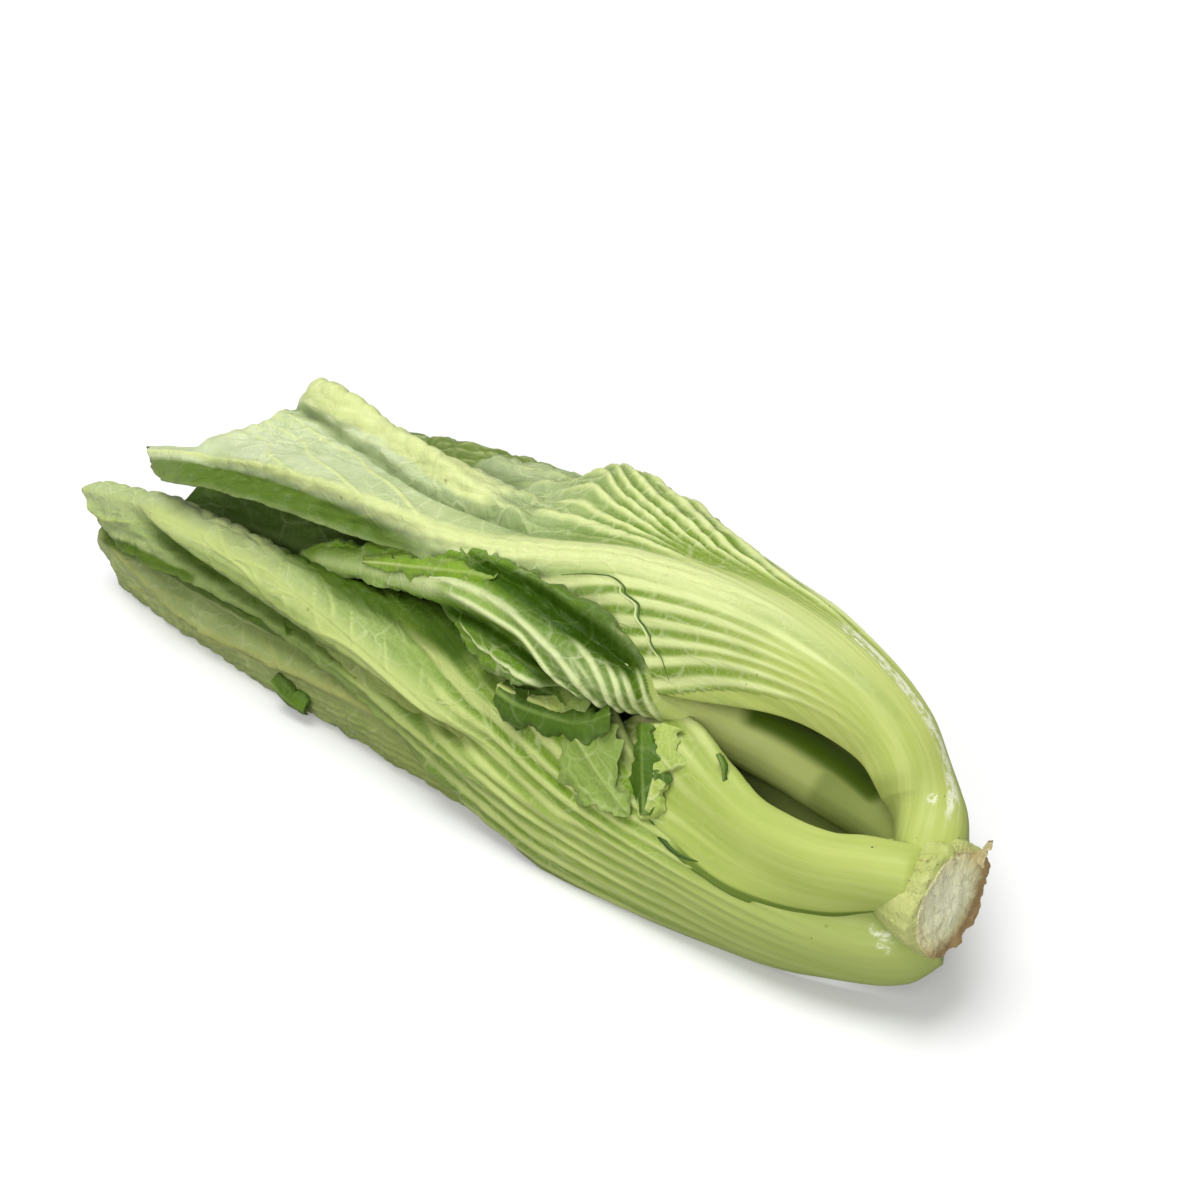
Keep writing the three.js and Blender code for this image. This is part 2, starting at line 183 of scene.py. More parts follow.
LEAVES = {
    "leaf_top": {
        "slot": "outer_leaf", "petiole": 13, "grid": (330, 130),
        "midrib": [0, 0, 0, 0.5, 1.6, 2.6, 3.0, 2.8, 2.2, 1.6, 1.0],
        "midrib_at": [0, 0, -2, -5, -8, -9, -9, -10, -9, -6, -3],
        "midrib_width": [12, 12, 12, 11, 10, 8, 6.5, 4.2, 2.6, 1.8, 1.3],
        "pucker": [0, 0, 0, 0.1, 0.4, 0.7, 1.1, 1.4, 1.4],
        "rib": [0, 0, 0, 0.05, 0.15, 0.2, 0.2, 0.25, 0.4, 0.5, 0.5],
        "green": [0, 0, 0, 0.05, 0.2, 0.45, 0.6, 0.75, 0.9, 1, 1],
        "midrib_pale": [0, 0, 0.2, 0.5, 0.8, 1, 1, 1, 1, 0.9, 0.7], "seed": 3, "foot": 4,
        "folds": [
            ([
                (0.63, 1), (0.67, 2.5), (0.74, 4), (0.78, 8), (0.81, 13), (0.87, 22), (0.91, 29), (0.94, 35),
            ], 1.6, -5.0),
            ([
                (0.63, 4), (0.68, 7.5), (0.71, 10.5), (0.74, 14), (0.78, 20), (0.82, 26), (0.86, 32), (0.9, 38),
                (0.94, 44),
            ], (4.0, 3.0), 4.0),
            ([(0.72, -22), (0.8, -16), (0.88, -12), (0.95, -8)], 6.0, -3.5),
            ([(0.955, 4), (0.935, 10), (0.915, 18), (0.9, 26)], (7.0, 6.0), 4.5),
        ],
        # painted shade: on the shelf in the shadow of the roll, lightly over the near ribs, and along the crack
        "shades": [
            ([(0.84, 40), (0.8, 37), (0.77, 35), (0.74, 31), (0.71, 26)], (7.0, 16.0), 0.75),
            ([(0.34, -20), (0.4, -28), (0.46, -33), (0.52, -32), (0.58, -28)], 13.0, 0.17),
            (CRACK, 0.9, 0.35),
        ],
        # pale streaks along the arch's outer edge: rubbed skin, with a painted highlight along its silhouette
        "scuffs_and_highlights": [
            ([(0.06, 3), (0.11, 4), (0.19, 4), (0.27, 3.5), (0.33, 3.5)], (1.5, 3.0)),
            ([(0.08, -3), (0.095, -1.5)], 1.5),
        ],
        # painted highlight along the crest of the roll
        "paler": [([(0.69, 8), (0.74, 13), (0.78, 19), (0.82, 25), (0.86, 30), (0.93, 40)], (5.0, 8.0), 0.9)],
        "lanes": [
            [(0.15, -15), (0.25, -21), (0.3, -26), (0.35, -32), (0.4, -39), (0.43, -44), (0.48, -53)],
            [(0.15, -13), (0.25, -18), (0.36, -28), (0.41, -33), (0.44, -38), (0.5, -47)],
            [(0.15, -11), (0.25, -15), (0.36, -25), (0.41, -29), (0.45, -33), (0.52, -41)],
            [(0.15, -9), (0.25, -13), (0.36, -21), (0.42, -25), (0.46, -28), (0.53, -34)],
            [(0.15, -7), (0.25, -11), (0.35, -17), (0.42, -20), (0.48, -23), (0.56, -27)],
            [(0.15, -5), (0.3, -12), (0.37, -14), (0.44, -16), (0.49, -18), (0.6, -21), (0.75, -18)],
            [(0.2, 0), (0.32, -5), (0.39, -6), (0.47, -5), (0.52, -5), (0.63, -5), (0.77, -8)],
            [(0.35, -4), (0.4, -3), (0.46, -1), (0.5, 2), (0.55, 8), (0.6, 13), (0.65, 11), (0.7, 6), (0.77, 2)],
            [(0.35, -3), (0.4, -2), (0.45, 0), (0.5, 5), (0.55, 12), (0.6, 19), (0.65, 20), (0.7, 15), (0.77, 9)],
            [
                (0.35, -1.5), (0.4, -0.5), (0.45, 1.5), (0.5, 8), (0.55, 18), (0.6, 28), (0.66, 33), (0.71, 27),
                (0.77, 18),
            ],
            [(0.35, 0), (0.4, 1), (0.45, 3), (0.5, 11), (0.55, 23), (0.6, 37), (0.65, 43), (0.7, 39), (0.77, 30)],
            [(0.35, 1.5), (0.4, 2.5), (0.45, 5), (0.5, 14), (0.55, 29), (0.6, 44), (0.65, 53), (0.72, 52)],
            [(0.35, 3), (0.4, 4), (0.45, 8), (0.5, 20), (0.55, 36), (0.6, 51), (0.65, 62), (0.72, 64)],
            [(0.35, 4.5), (0.4, 6), (0.45, 12), (0.5, 28), (0.55, 46), (0.6, 62), (0.65, 74)],
            [(0.3, 5), (0.35, 7), (0.4, 10), (0.45, 20), (0.5, 37), (0.55, 57), (0.6, 75)],
            [(0.3, 9), (0.35, 12), (0.4, 18), (0.45, 31), (0.5, 48), (0.55, 70)],
        ],
        "lane_rise": [0.5, 0.6, 0.7, 0.7, 0.6, 0.3, 0.5, 1.8, 2.2, 2.6, 2.8, 2.8, 2.6, 2.4, 2.0, 1.6],
        "lane_reach": [0, 0, 0, 0.15, 0.5, 0.9, 1, 1, 1, 0.9, 0.7, 0.5, 0.4, 0.2, 0.1, 0, 0],
        "lane_end": [0.55, 0.57, 0.6, 0.62, 0.65, 0.7, 0.7, 0.68, 0.73, 0.77, 0.79, 0.8, 0.8, 0.8, 0.78, 0.76],
        "veins": [
            ([(0.79, -8), (0.82, -2), (0.85, 3), (0.87, 11), (0.9, 15)], 0.9, 0.75),
            ([(0.74, -8), (0.77, -1), (0.8, 4), (0.82, 10), (0.86, 15), (0.9, 23)], 0.9, 0.75),
            ([(0.85, -7), (0.88, -1), (0.89, 5), (0.91, 9)], 0.9, 0.65),
            ([(0.82, -8), (0.85, -14), (0.88, -18)], 1.0, 0.65),
            ([(0.76, -10), (0.79, -16), (0.82, -22)], 1.0, 0.65),
        ],
        "spine": [
            (192, -42, 61), (183, -24, 73), (167, -17, 88), (136, -12, 99), (98, -8, 100), (56, -14, 99),
            (25, -24, 95), (-4, -32, 93), (-56, -38, 92), (-110, -42, 83), (-163, -46, 66),
        ],
        "roll": [80, 75, 88, 90, 90, 90, 90, 90, 90, 90, 90],
        "right": {
            "width": [
                19, 19, 19, 19, 19, 19, 19, 19, 19, 20, 21, 22, 23, 25, 27, 29, 32, 36, 41, 46, 52, 58, 65, 71, 74,
                72, 68, 65, 62, 60, 58, 56, 54, 50, 47, 46, 44, 27, 7, 6, 5,
            ],
            "bend": [
                *[(10, 10, 15, 15, 15, 15, 5, 5)] * 6,
                (10, 10, 15, 15, 12, 12, 5, 5), (9, 9, 14, 14, 12, 12, 5, 5), (8, 8, 12, 12, 12, 12, 5, 5),
                (2, 2, 11, 11, 12, 12, 10, 10), (-2, -2, 10, 10, 12, 12, 15, 15), (-4, -4, 9, 9, 14, 14, 18, 18),
                (-6, -6, 9, 9, 15, 20, 20, 20), (-12, 40, -24, 5, 10, 15, 20, 20), (-20, 15, 75, -70, 5, 10, 10, 15),
                (-18, -24, 70, 65, -75, -25, 5, 5), (-5, -28, 12, 85, 35, -70, -20, 0),
                (-5, -3, -8, -40, 40, 75, 40, 20), (-5, 0, -5, -12, -25, 60, 60, 30),
                (15, 15, 15, 20, 25, 30, 30, 20), (40, 30, 20, 10, 10, 10, 0, 0),
            ],
            "fan": [0, 0, 1, 4, 8, 8, 4, 3, 4, 6, 8], "pleat": [0, 0, 0, 0.1, 0.4, 0.6, 0.6, 0.5, 0.4, 0.3, 0.2],
            "rib": [0, 0, 0, 0.1, 0.25, 0.3, 0.3, 0.25, 0.35, 0.4, 0.4],
            "green": [0, 0, 0, 0.2, 0.6, 0.9, 1, 1, 1, 1, 1], "ruffle": [0, 0, 0, 0, 0.5, 1, 2, 2, 2, 2, 1],
        },
        "left": {
            "width": [20, 22, 25, 34, 46, 50, 35, 21, 22, 19, 14],
            "bend": [(30, 40, 20), (25, 40, 20), (20, 30, 20), (25, 20, 10), (25, 25, 10)],
            "fan": [0, 0, 1, 3, 4, 3, 2, 3, 5, 8, 8], "pleat": [0, 0, 0, 0.15, 0.5, 0.7, 0.6, 0.4, 0.3, 0.3, 0.2],
            "ruffle": [0, 0, 0, 0, 0.3, 0.8, 1.2, 1.5, 1.5, 1.5, 1],
            # painted shade over the near half towards the tip
            "dark": [0, 0, 0, 0, 0, 0, 0.1, 0.4, 0.7, 0.9, 0.9],
        },
    },
    "leaf_front": {
        "slot": "outer_leaf", "foot": 11, "petiole": 13, "grid": (190, 64), "end": 0.7,
        "teeth": [0, 0, 0.02, 0.1, 0.5, 0.8], "midrib": [0, 0, 0, 0.2, 0.4, 0.6, 0.8],
        "midrib_width": [8, 8, 7, 6, 5], "pucker": [0, 0, 0, 0, 0.3, 0.8, 1.0],
        "rib": [0, 0, 0.05, 0.2, 0.4, 0.5, 0.4], "green": [0, 0, 0, 0.1, 0.3, 0.6, 0.9],
        "midrib_pale": [0, 0, 0, 0.1, 0.2, 0.4, 0.6], "seed": 11,
        "shades": [([(0.06, -15), (0.2, -15), (0.3, -16), (0.4, -17), (0.5, -16)], (8.0, 0.9), 0.85)],
        "lanes": [
            [(0.05, -14), (0.3, -19), (0.45, -24), (0.6, -30)],
            [(0.05, -9), (0.3, -13), (0.45, -17), (0.6, -21)],
            [(0.05, -4), (0.3, -7), (0.45, -9), (0.6, -11)],
            [(0.05, 1), (0.3, 0), (0.45, 0), (0.6, 0)],
            [(0.05, 6), (0.3, 6), (0.45, 7), (0.6, 9)],
            [(0.05, 11), (0.3, 12), (0.45, 13), (0.6, 17)],
        ],
        "lane_rise": [0.4, 0.4, 0.4, 0.5, 0.4, 0.4], "lane_reach": [0, 0, 0, 0.2, 0.6, 1, 1, 1],
        "spine": [
            (198, -48, 56), (180, -56, 55), (160, -61, 52), (136, -60, 50), (112, -56, 52), (88, -52, 55),
            (58, -48, 52), (25, -46, 45), (-6, -44, 38),
        ],
        "roll": [165, 170, 170, 165, 160, 155, 150, 150, 150],
        "both": {"fan": [0, 0, 4, 8, 10, 12], "pleat": [0, 0, 0.1, 0.4, 0.8, 1.0]},
        "right": {
            "width": [16, 16, 16, 16, 15, 15, 15, 15, 15, 16, 17, 18, 18, 13, 3, 3, 3, 3, 3, 3, 3],
            "bend": [(30, 40, 20), (20, 30, 20), (10, 10, 10)], "ruffle": [0, 0, 0.2, 0.8, 2, 2],
        },
        "left": {
            "width": [16, 16, 16, 16, 17, 17, 18, 19, 19, 19, 18, 15, 9, 4, 3, 3, 3, 3, 3, 3, 3],
            "bend": [(30, 40, 20), (5, 5, 15), (-12, -6, 10), (-10, 0, 10), (0, 0, 10)],
            "ruffle": [0, 0, 0.2, 0.6, 1, 1],
        },
    },
    "leaf_bottom": {
        "slot": "outer_leaf", "petiole": 13, "grid": (330, 100),
        "midrib": [0, 0, 0.1, 0.3, 0.5, 0.8, 1.0, 1.2, 1.2, 1.0, 0.8, 0.6],
        "midrib_width": [10, 10, 9, 8, 7, 6, 5, 4, 3.2, 3, 2.5, 2], "pucker": [0, 0, 0, 0.1, 0.3, 0.7, 1.1, 1.3, 1.3],
        "rib": [0, 0, 0.05, 0.15, 0.2, 0.2, 0.3, 0.5, 0.6, 0.6],
        "green": [0, 0, 0.05, 0.1, 0.2, 0.35, 0.6, 0.8, 0.9, 1],
        "midrib_pale": [0, 0, 0, 0.1, 0.3, 0.5, 0.5, 0.5, 0.5, 0.4], "seed": 21, "foot": 4,
        "folds": [
            ([(0.92, -3), (0.85, -11), (0.8, -13), (0.72, -13), (0.66, -11), (0.6, -8), (0.52, -3)], 2.6, -5.5),
            ([(0.91, 2), (0.85, -5), (0.8, -8), (0.72, -8), (0.66, -6), (0.6, -3), (0.52, 2)], (1.8, 9.0), 5.0),
            ([(0.99, -5), (0.96, -9), (0.91, -7)], 1.5, 1.2),
            ([(0.83, -14), (0.76, -13), (0.69, -14), (0.62, -14), (0.52, -12), (0.44, -10)], 2.4, 1.8),
            ([(0.6, -8), (0.54, -8), (0.48, -6), (0.42, -4)], 2.2, 1.6),
        ],
        "scuffs_and_highlights": [([(0.05, 9), (0.07, 10), (0.09, 13)], 1.5), ([(0.06, 5), (0.08, 7)], 1.2)],
        # painted shade below leaf_inner's lower edge and along a line beneath it, in the gap between the roll and
        # leaf_inner, and along the lower margin near the tip; the two short marks near u 0.75 are dark tears
        "shades": [
            ([(0.78, -10), (0.776, -12), (0.772, -15)], 0.6, 1.0),
            ([(0.95, -17), (0.91, -17), (0.87, -18), (0.83, -18.5)], 2.5, 0.9),
            ([(0.748, -12), (0.738, -14), (0.726, -17)], 0.9, 1.0),
            ([(0.56, 20), (0.52, 22), (0.49, 25), (0.46, 28), (0.43, 31)], (3.0, 16.0), 0.8),
            ([(0.43, 32), (0.4, 27), (0.37, 22), (0.35, 17)], 1.6, 0.6),
            ([(0.78, 11), (0.74, 12.5), (0.7, 12), (0.67, 14), (0.63, 18), (0.59, 21), (0.55, 24)], (6.0, 12.0), 1.0),
        ],
        "lanes": [
            [(0.1, -17), (0.3, -21), (0.4, -26), (0.5, -29), (0.6, -24), (0.9, -18)],
            [(0.1, -14), (0.3, -15), (0.4, -18), (0.46, -22), (0.51, -21), (0.6, -19), (0.7, -18)],
            [(0.1, -11), (0.32, -10), (0.4, -13), (0.46, -16), (0.52, -15), (0.58, -14), (0.69, -14), (0.83, -14)],
            [(0.1, -8), (0.32, -5), (0.39, -9), (0.46, -11), (0.51, -10), (0.56, -9), (0.61, -7), (0.68, -8)],
            [(0.1, -4), (0.32, -1), (0.39, -4), (0.46, -7), (0.52, -6), (0.57, -4), (0.62, -2), (0.68, 0)],
            [(0.1, 0), (0.3, 2), (0.38, 1), (0.44, -2), (0.5, 0), (0.56, 0), (0.62, 4)],
            [
                (0.1, 4), (0.25, 5), (0.33, 5), (0.38, 4.5), (0.44, 4), (0.5, 5), (0.56, 5), (0.64, 9), (0.74, 6),
                (0.86, 7),
            ],
            [(0.1, 8), (0.25, 9), (0.33, 9), (0.38, 8), (0.44, 9), (0.5, 10), (0.56, 11), (0.64, 16), (0.74, 14)],
            [(0.1, 12), (0.3, 13), (0.4, 13), (0.43, 14), (0.47, 16), (0.5, 19), (0.55, 27), (0.6, 34)],
            [(0.1, 15), (0.3, 16), (0.38, 16), (0.4, 18), (0.42, 22), (0.45, 27), (0.48, 34), (0.51, 42)],
            [(0.1, 18), (0.3, 19), (0.37, 20), (0.39, 24), (0.41, 30), (0.44, 40), (0.46, 48)],
        ],
        "lane_rise": [0.5, 0.6, 0.7, 0.7, 0.7, 0.8, 1.0, 0.8, 0.8, 0.8, 0.8],
        "lane_reach": [0, 0, 0.2, 0.5, 0.8, 1, 1, 0.9, 0.6, 0.4, 0.3, 0.2],
        "lane_end": [0.62, 0.62, 0.68, 0.62, 0.6, 0.58, 0.6, 0.66, 0.6, 0.55, 0.5],
        "veins": [
            ([
                (0.56, -2), (0.62, -1.5), (0.66, -2), (0.7, -6), (0.74, -6.5), (0.78, -3), (0.81, -2), (0.83, 1.5),
            ], 1.2, 1.1),
            ([(0.79, -2.5), (0.81, 2), (0.83, 6)], 0.8, 0.6),
            ([(0.755, -5), (0.775, 0), (0.79, 5)], 0.8, 0.6),
            ([(0.72, -6.5), (0.74, -1), (0.755, 5)], 0.8, 0.6),
            ([(0.685, -5), (0.705, 1), (0.72, 7)], 0.8, 0.6),
            ([(0.65, -1.5), (0.67, 4), (0.68, 9)], 0.8, 0.6),
            ([(0.61, -1.5), (0.63, 4), (0.645, 9)], 0.8, 0.6),
            ([(0.99, -5), (0.97, -9), (0.92, -7), (0.88, -2)], 1.1, 0.8),
            ([(0.73, -1), (0.75, -5), (0.76, -8)], 1.0, 0.6),
            ([(0.685, 2), (0.7, 6), (0.72, 9)], 1.0, 0.6),
            ([(0.76, 1), (0.8, -2), (0.83, -3)], 1.0, 0.6),
        ],
        "spine": [
            (201, -44, 29), (184, -56, 25), (160, -64, 25), (130, -67, 25), (98, -68, 27), (61, -68, 32),
            (21, -66, 39), (-22, -63, 46), (-66, -60, 51), (-113, -57, 51), (-160, -55, 45), (-197, -54, 37),
        ],
        "roll": [190, 190, 185, 180, 175, 170, 165, 160, 155, 150, 150, 160],
        "right": {
            "width": [18, 20, 20, 19, 24, 42, 46, 30, 17, 13, 11, 10],
            "bend": [(30, 40, 20), (20, 20, 10), (10, 20, 20), (10, 20, 50), (30, 80, 60), (30, 60, 40)],
            "fan": [0, 0, 1, 2, 5, 7, 5, 4], "pleat": [0, 0, 0.1, 0.2, 0.3, 0.4, 0.3, 0.3, 0.2],
            "green": [0, 0, 0.05, 0.3, 0.85, 1, 0.95, 0.9, 1, 1], "ruffle": [0, 0, 0, 0.3, 1.5, 1.5, 1, 1, 1],
        },
        "left": {
            "width": [20, 25, 27, 28, 29, 32, 26, 20, 19, 19, 19, 10],
            "dark": [0, 0, 0, 0, 0, 0.1, 0.3, 0.5, 0.5, 0.3, 0.1],
            "bend": [(20, 40, 30), (10, 20, 30), (0, 10, 20), (0, 5, 5), (0, 10, 10)],
            "fan": [0, 0, 1, 1, 2, 2, 3, 4], "pleat": [0, 0, 0.1, 0.3, 0.5, 0.5, 0.4, 0.3, 0.2],
            "ruffle": [0, 0, 0, 0, 0.3, 0.8, 1, 1.2, 1],
        },
    },
    "leaf_inner": {
        "slot": "inner_leaf", "petiole": 14, "grid": (300, 76), "midrib": [0, 0, 0, 0, 0, 0, 0, 0, 0.3, 0.3, 0.3],
        "midrib_width": [10, 10, 9, 8, 6, 4.5, 4, 3.5, 3, 2.5, 2], "pucker": [0, 0, 0, 0, 0.2, 0.6, 0.9, 1.0, 1.0],
        "rib": [0, 0, 0, 0, 0.1, 0.2, 0.15, 0.1, 0.1, 0.1], "green": [0, 0, 0, 0, 0.4, 0.95, 1, 1, 1, 1],
        "midrib_pale": [0, 0, 0, 0, 0, 0, 0, 0.1, 0.2, 0.2], "seed": 31,
        "folds": [
            (CREASE, 2.8, -3.5),
            ([(0.86, -6), (0.78, -5), (0.72, -5), (0.69, -7), (0.64, -10), (0.6, -12), (0.55, -13)], 2.0, -5.0),
            ([(0.9, 2), (0.78, 1), (0.7, 2), (0.64, -1), (0.58, -3), (0.53, -3), (0.47, -2)], 6.0, 4.0),
            ([(0.78, 16), (0.68, 16), (0.63, 15.3), (0.58, 14), (0.54, 11.5), (0.51, 8.5), (0.47, 5.5)], 2.0, 3.0),
        ],
        # painted shade down the crease and the second fold, and over the petiole's upper part and foot, deep in the
        # hollow
        "shades": [
            (CREASE, (4.5, 3.5), 1.0),
            ([(0.09, 7), (0.18, 9), (0.27, 9), (0.34, 8)], (4.5, 10.0), 1.0),
            ([(0.03, 0), (0.12, 0), (0.2, 2)], 11.0, 0.5),
            ([(0.86, -7), (0.78, -7), (0.72, -8), (0.66, -10), (0.6, -12.5)], 2.0, 0.9),
        ],
        "paler": [([(0.99, 0), (0.94, 0), (0.88, 1), (0.82, 3)], 6.0, 0.32)],
        "lanes": [
            [(0.45, -26), (0.5, -20), (0.54, -15), (0.575, -10.4), (0.615, -7), (0.65, -4.4), (0.69, -1), (0.8, 0)],
            [(0.45, -18), (0.5, -14), (0.535, -10), (0.57, -5.5), (0.615, -0.6), (0.68, 2.6), (0.72, 5), (0.85, 4)],
            [(0.45, -15), (0.48, -12), (0.515, -7), (0.54, -1.4), (0.57, 3.5), (0.6, 5.8), (0.7, 9), (0.8, 11)],
            [(0.44, -13), (0.47, -10), (0.5, -6), (0.52, 0), (0.545, 4), (0.6, 9), (0.7, 13), (0.8, 15)],
            [(0.43, -11), (0.46, -8), (0.487, -4), (0.508, 1.3), (0.53, 4.5), (0.58, 11), (0.7, 17)],
            [(0.41, -9), (0.44, -6), (0.468, -2.5), (0.486, 2), (0.5, 5.5), (0.56, 14), (0.7, 20)],
        ],
        "lane_rise": [1.3, 1.5, 1.3, 1.1, 1.0, 1.0], "lane_reach": [0, 0, 0, 0, 0.6, 1, 1, 1, 1, 1, 1],
        "lane_end": [0.82, 0.86, 0.62, 0.56, 0.54, 0.515], "rib_width": 1.1, "teeth": [0, 0, 0, 0.04, 0.1, 0.25, 0.4],
        "tooth": 6,
        "veins": [
            ([(0.6, -12), (0.69, -14), (0.735, -13.3), (0.774, -12.6), (0.8, -8.5), (0.82, -5)], 0.9, 0.8),
            ([(0.6, -11.5), (0.65, -11), (0.71, -9)], 1.0, 0.6),
        ],
        "spine": [
            (184, -32, 50), (160, -27, 51), (134, -24, 52), (112, -26, 56), (95, -38, 66), (80, -50, 76),
            (60, -56, 80), (40, -57, 82), (12, -54, 80), (-30, -51, 70), (-79, -48, 55),
        ],
        "roll": [150, 150, 150, 145, 140, 140, 145, 150, 150, 150, 150],
        "both": {"fan": [0, 0, 0, 2, 6, 7, 7, 6, 6, 6, 6], "pleat": [0, 0, 0, 0, 0.3, 0.5, 0.5, 0.4, 0.3, 0.3, 0.3]},
        "right": {
            "width": [13, 14, 15, 16, 17, 16, 15, 11, 8, 7, 9, 14, 17, 18, 18.5, 19, 19, 18, 14, 10, 6],
            "bend": [(30, 40, 20), (20, 30, 30), (0, 20, 30), (0, 30, 60)],
            "dark": [0, 0, 0, 0, 0, 0.2, 0.3, 0.3, 0, 0, 0], "ruffle": [0, 0, 0, 0, 0.5, 1.5, 3, 3, 3, 2.5, 2],
        },
        "left": {
            "width": [13, 14, 15, 16, 17, 16, 15, 11, 8, 9, 10, 11.5, 13, 15, 18, 20, 17, 7, 5, 4, 3],
            "bend": [(30, 40, 20), (20, 30, 30), (0, 20, 10), (10, 10, 10)],
            "ruffle": [0, 0, 0, 0, 0.5, 1, 1.5, 2, 2, 2, 1.5],
        },
    },
    "leaf_under": {
        "slot": "outer_leaf", "petiole": 9, "grid": (270, 66),
        "midrib": [0, 0, 0.2, 0.6, 1.0, 1.4, 1.8, 2.0, 2.0, 1.4, 0.8],
        "midrib_width": [6, 6, 6, 6, 5, 4, 3, 2.4, 2, 1.6, 1.4], "midrib_at": [0, 0, 0, 0, 0, 0, 1, -2, -8, 2, 4],
        "pucker": [0, 0, 0, 0.2, 0.4, 0.8, 1.1, 1.3, 1.3], "rib": [0, 0, 0.2, 0.4, 0.5, 0.5, 0.6, 0.6],
        "green": [0, 0, 0.2, 0.5, 0.8, 0.9, 1, 1], "midrib_pale": [0, 0, 0.3, 0.7, 0.9, 0.9, 0.8, 0.7], "seed": 41,
        "folds": [
            ([(0.88, 10), (0.8, 10), (0.75, 10), (0.69, 10), (0.6, 8), (0.5, 6)], 2.6, 2.6),
            ([(0.9, 6), (0.82, 3), (0.76, 2), (0.68, 6), (0.6, 4)], 3.0, -3.5),
            ([(0.96, -4), (0.9, -10), (0.84, -14), (0.76, -10)], 4.0, 2.0),
        ],
        # painted shade in the gap beneath leaf_bottom's tip
        "shades": [
            ([
                (0.99, 3), (0.95, 5), (0.92, 6), (0.88, 6.5), (0.83, 7), (0.79, 9), (0.74, 10), (0.66, 11),
            ], (2.5, 10.0), 1.0),
        ],
        "veins": [
            ([(0.8, -7), (0.84, -6), (0.88, -8), (0.92, -10)], 1.1, 0.6),
            ([(0.82, 0), (0.86, -2), (0.9, -4)], 1.0, 0.6),
            ([(0.95, 2), (0.91, -4), (0.87, -14)], 1.1, 0.6),
            ([(0.77, -8), (0.8, -13), (0.83, -18)], 1.1, 0.6),
            ([(0.73, -5), (0.76, -10), (0.78, -14)], 1.1, 0.6),
            ([(0.72, -3), (0.75, 2), (0.78, 8)], 1.1, 0.6),
            ([(0.66, 0), (0.69, 5), (0.71, 10)], 1.1, 0.6),
        ],
        "spine": [
            (192, -36, 26), (160, -40, 17), (120, -50, 14), (82, -62, 12), (48, -65, 15), (17, -66, 19),
            (-17, -66, 23), (-59, -65, 23), (-121, -61, 20), (-166, -57, 18), (-189, -54, 18),
        ],
        "roll": [230, 220, 205, 200, 190, 185, 180, 180, 180, 180, 180],
        "both": {"fan": [0, 1, 3, 6, 8, 8, 8, 8], "pleat": [0, 0, 0.4, 0.8, 0.8, 0.7, 0.6, 0.4]},
        "right": {
            "width": [10, 11, 13, 18, 22, 24, 24, 24, 22, 14, 8], "bend": [(30, 30, 20), (10, 10, 10), (10, 20, 30)],
            "ruffle": [0, 0, 0.4, 1, 1, 1, 1.5, 1.5],
        },
        "left": {
            "width": [10, 11, 13, 16, 18, 22, 26, 28, 30, 28, 14],
            "bend": [(30, 30, 20), (10, 20, 40), (5, 20, 40), (5, 15, 30), (5, 5, 15)],
            "ruffle": [0, 0, 0.4, 0.8, 1, 1, 1.5, 1.5],
        },
    },
    "leaf_back_upper": BACK_LEAF | {
        "grid": (170, 84), "pucker": [0, 0, 0, 0.4, 1.2, 2.4, 2.0], "seed": 51,
        "spine": [
            (194, -20, 44), (180, -4, 48), (155, 14, 54), (120, 28, 60), (80, 38, 64), (35, 44, 64), (-15, 40, 66),
            (-65, 28, 68), (-110, 12, 62), (-145, 0, 54),
        ],
        "roll": [10, 10, 15, 20, 25, 25, 30, 35, 35, 35],
        "both": BACK_LEAF["both"] | {"ruffle": [0, 0, 0, 0.6, 1.5, 2, 2.5, 2]},
        "right": {
            "width": [16, 16, 16, 20, 28, 34, 36, 36, 26, 8],
            "bend": [(30, 40, 20), (20, 25, 20), (10, 20, 30), (10, 20, 40)],
        },
        "left": {
            "width": [16, 16, 16, 20, 26, 30, 38, 44, 34, 8],
            "bend": [(30, 40, 20), (20, 25, 20), (10, 30, 30), (10, 40, 30)],
        },
    },
    "leaf_back_lower": BACK_LEAF | {
        "grid": (170, 80), "pucker": [0, 0, 0, 0.4, 0.8, 1.0, 1.0], "seed": 61,
        "spine": [
            (194, -26, 32), (176, -10, 22), (146, 4, 18), (105, 14, 17), (60, 22, 18), (10, 26, 19), (-45, 22, 20),
            (-100, 10, 20), (-150, -8, 18), (-175, -16, 18),
        ],
        "roll": [310, 320, 320, 325, 330, 335, 340, 340, 345, 350],
        "right": {
            "width": [16, 16, 17, 24, 34, 42, 44, 38, 28, 8],
            "bend": [(30, 40, 20), (20, 25, 20), (20, 30, 10), (20, 30, 20)],
            "ruffle": [0, 0, 0, 0.4, 0.6, 0.8, 0.8, 0.8],
        },
        "left": {
            "width": [16, 16, 16, 20, 26, 32, 34, 30, 22, 8],
            "bend": [(30, 40, 20), (20, 25, 20), (10, 20, 30), (10, 20, 30)],
            "ruffle": [0, 0, 0, 0.6, 1.5, 2, 2.5, 2],
        },
    },
    "leaf_base": BACK_LEAF | {
        "petiole": 9, "grid": (140, 56), "midrib": [0, 0, 0.3, 0.6, 0.8, 0.8, 0.6],
        "midrib_width": [8, 8, 7, 6, 5, 4, 3], "pucker": [0, 0, 0, 0.4, 0.6, 0.8, 0.8], "seed": 71,
        "spine": [
            (190, -34, 27), (172, -30, 13), (145, -26, 3), (105, -24, -1), (60, -26, -1), (10, -26, -1),
            (-45, -26, -1), (-100, -28, 0), (-150, -34, 3),
        ],
        "roll": [265, 268, 270, 270, 270, 270, 270, 270],
        "both": {"fan": [0, 0, 4, 8, 10, 10], "pleat": [0, 0, 0.2, 0.5, 0.6, 0.4], "ruffle": [0, 0, 0, 0.6, 1.2, 1]},
        "right": {
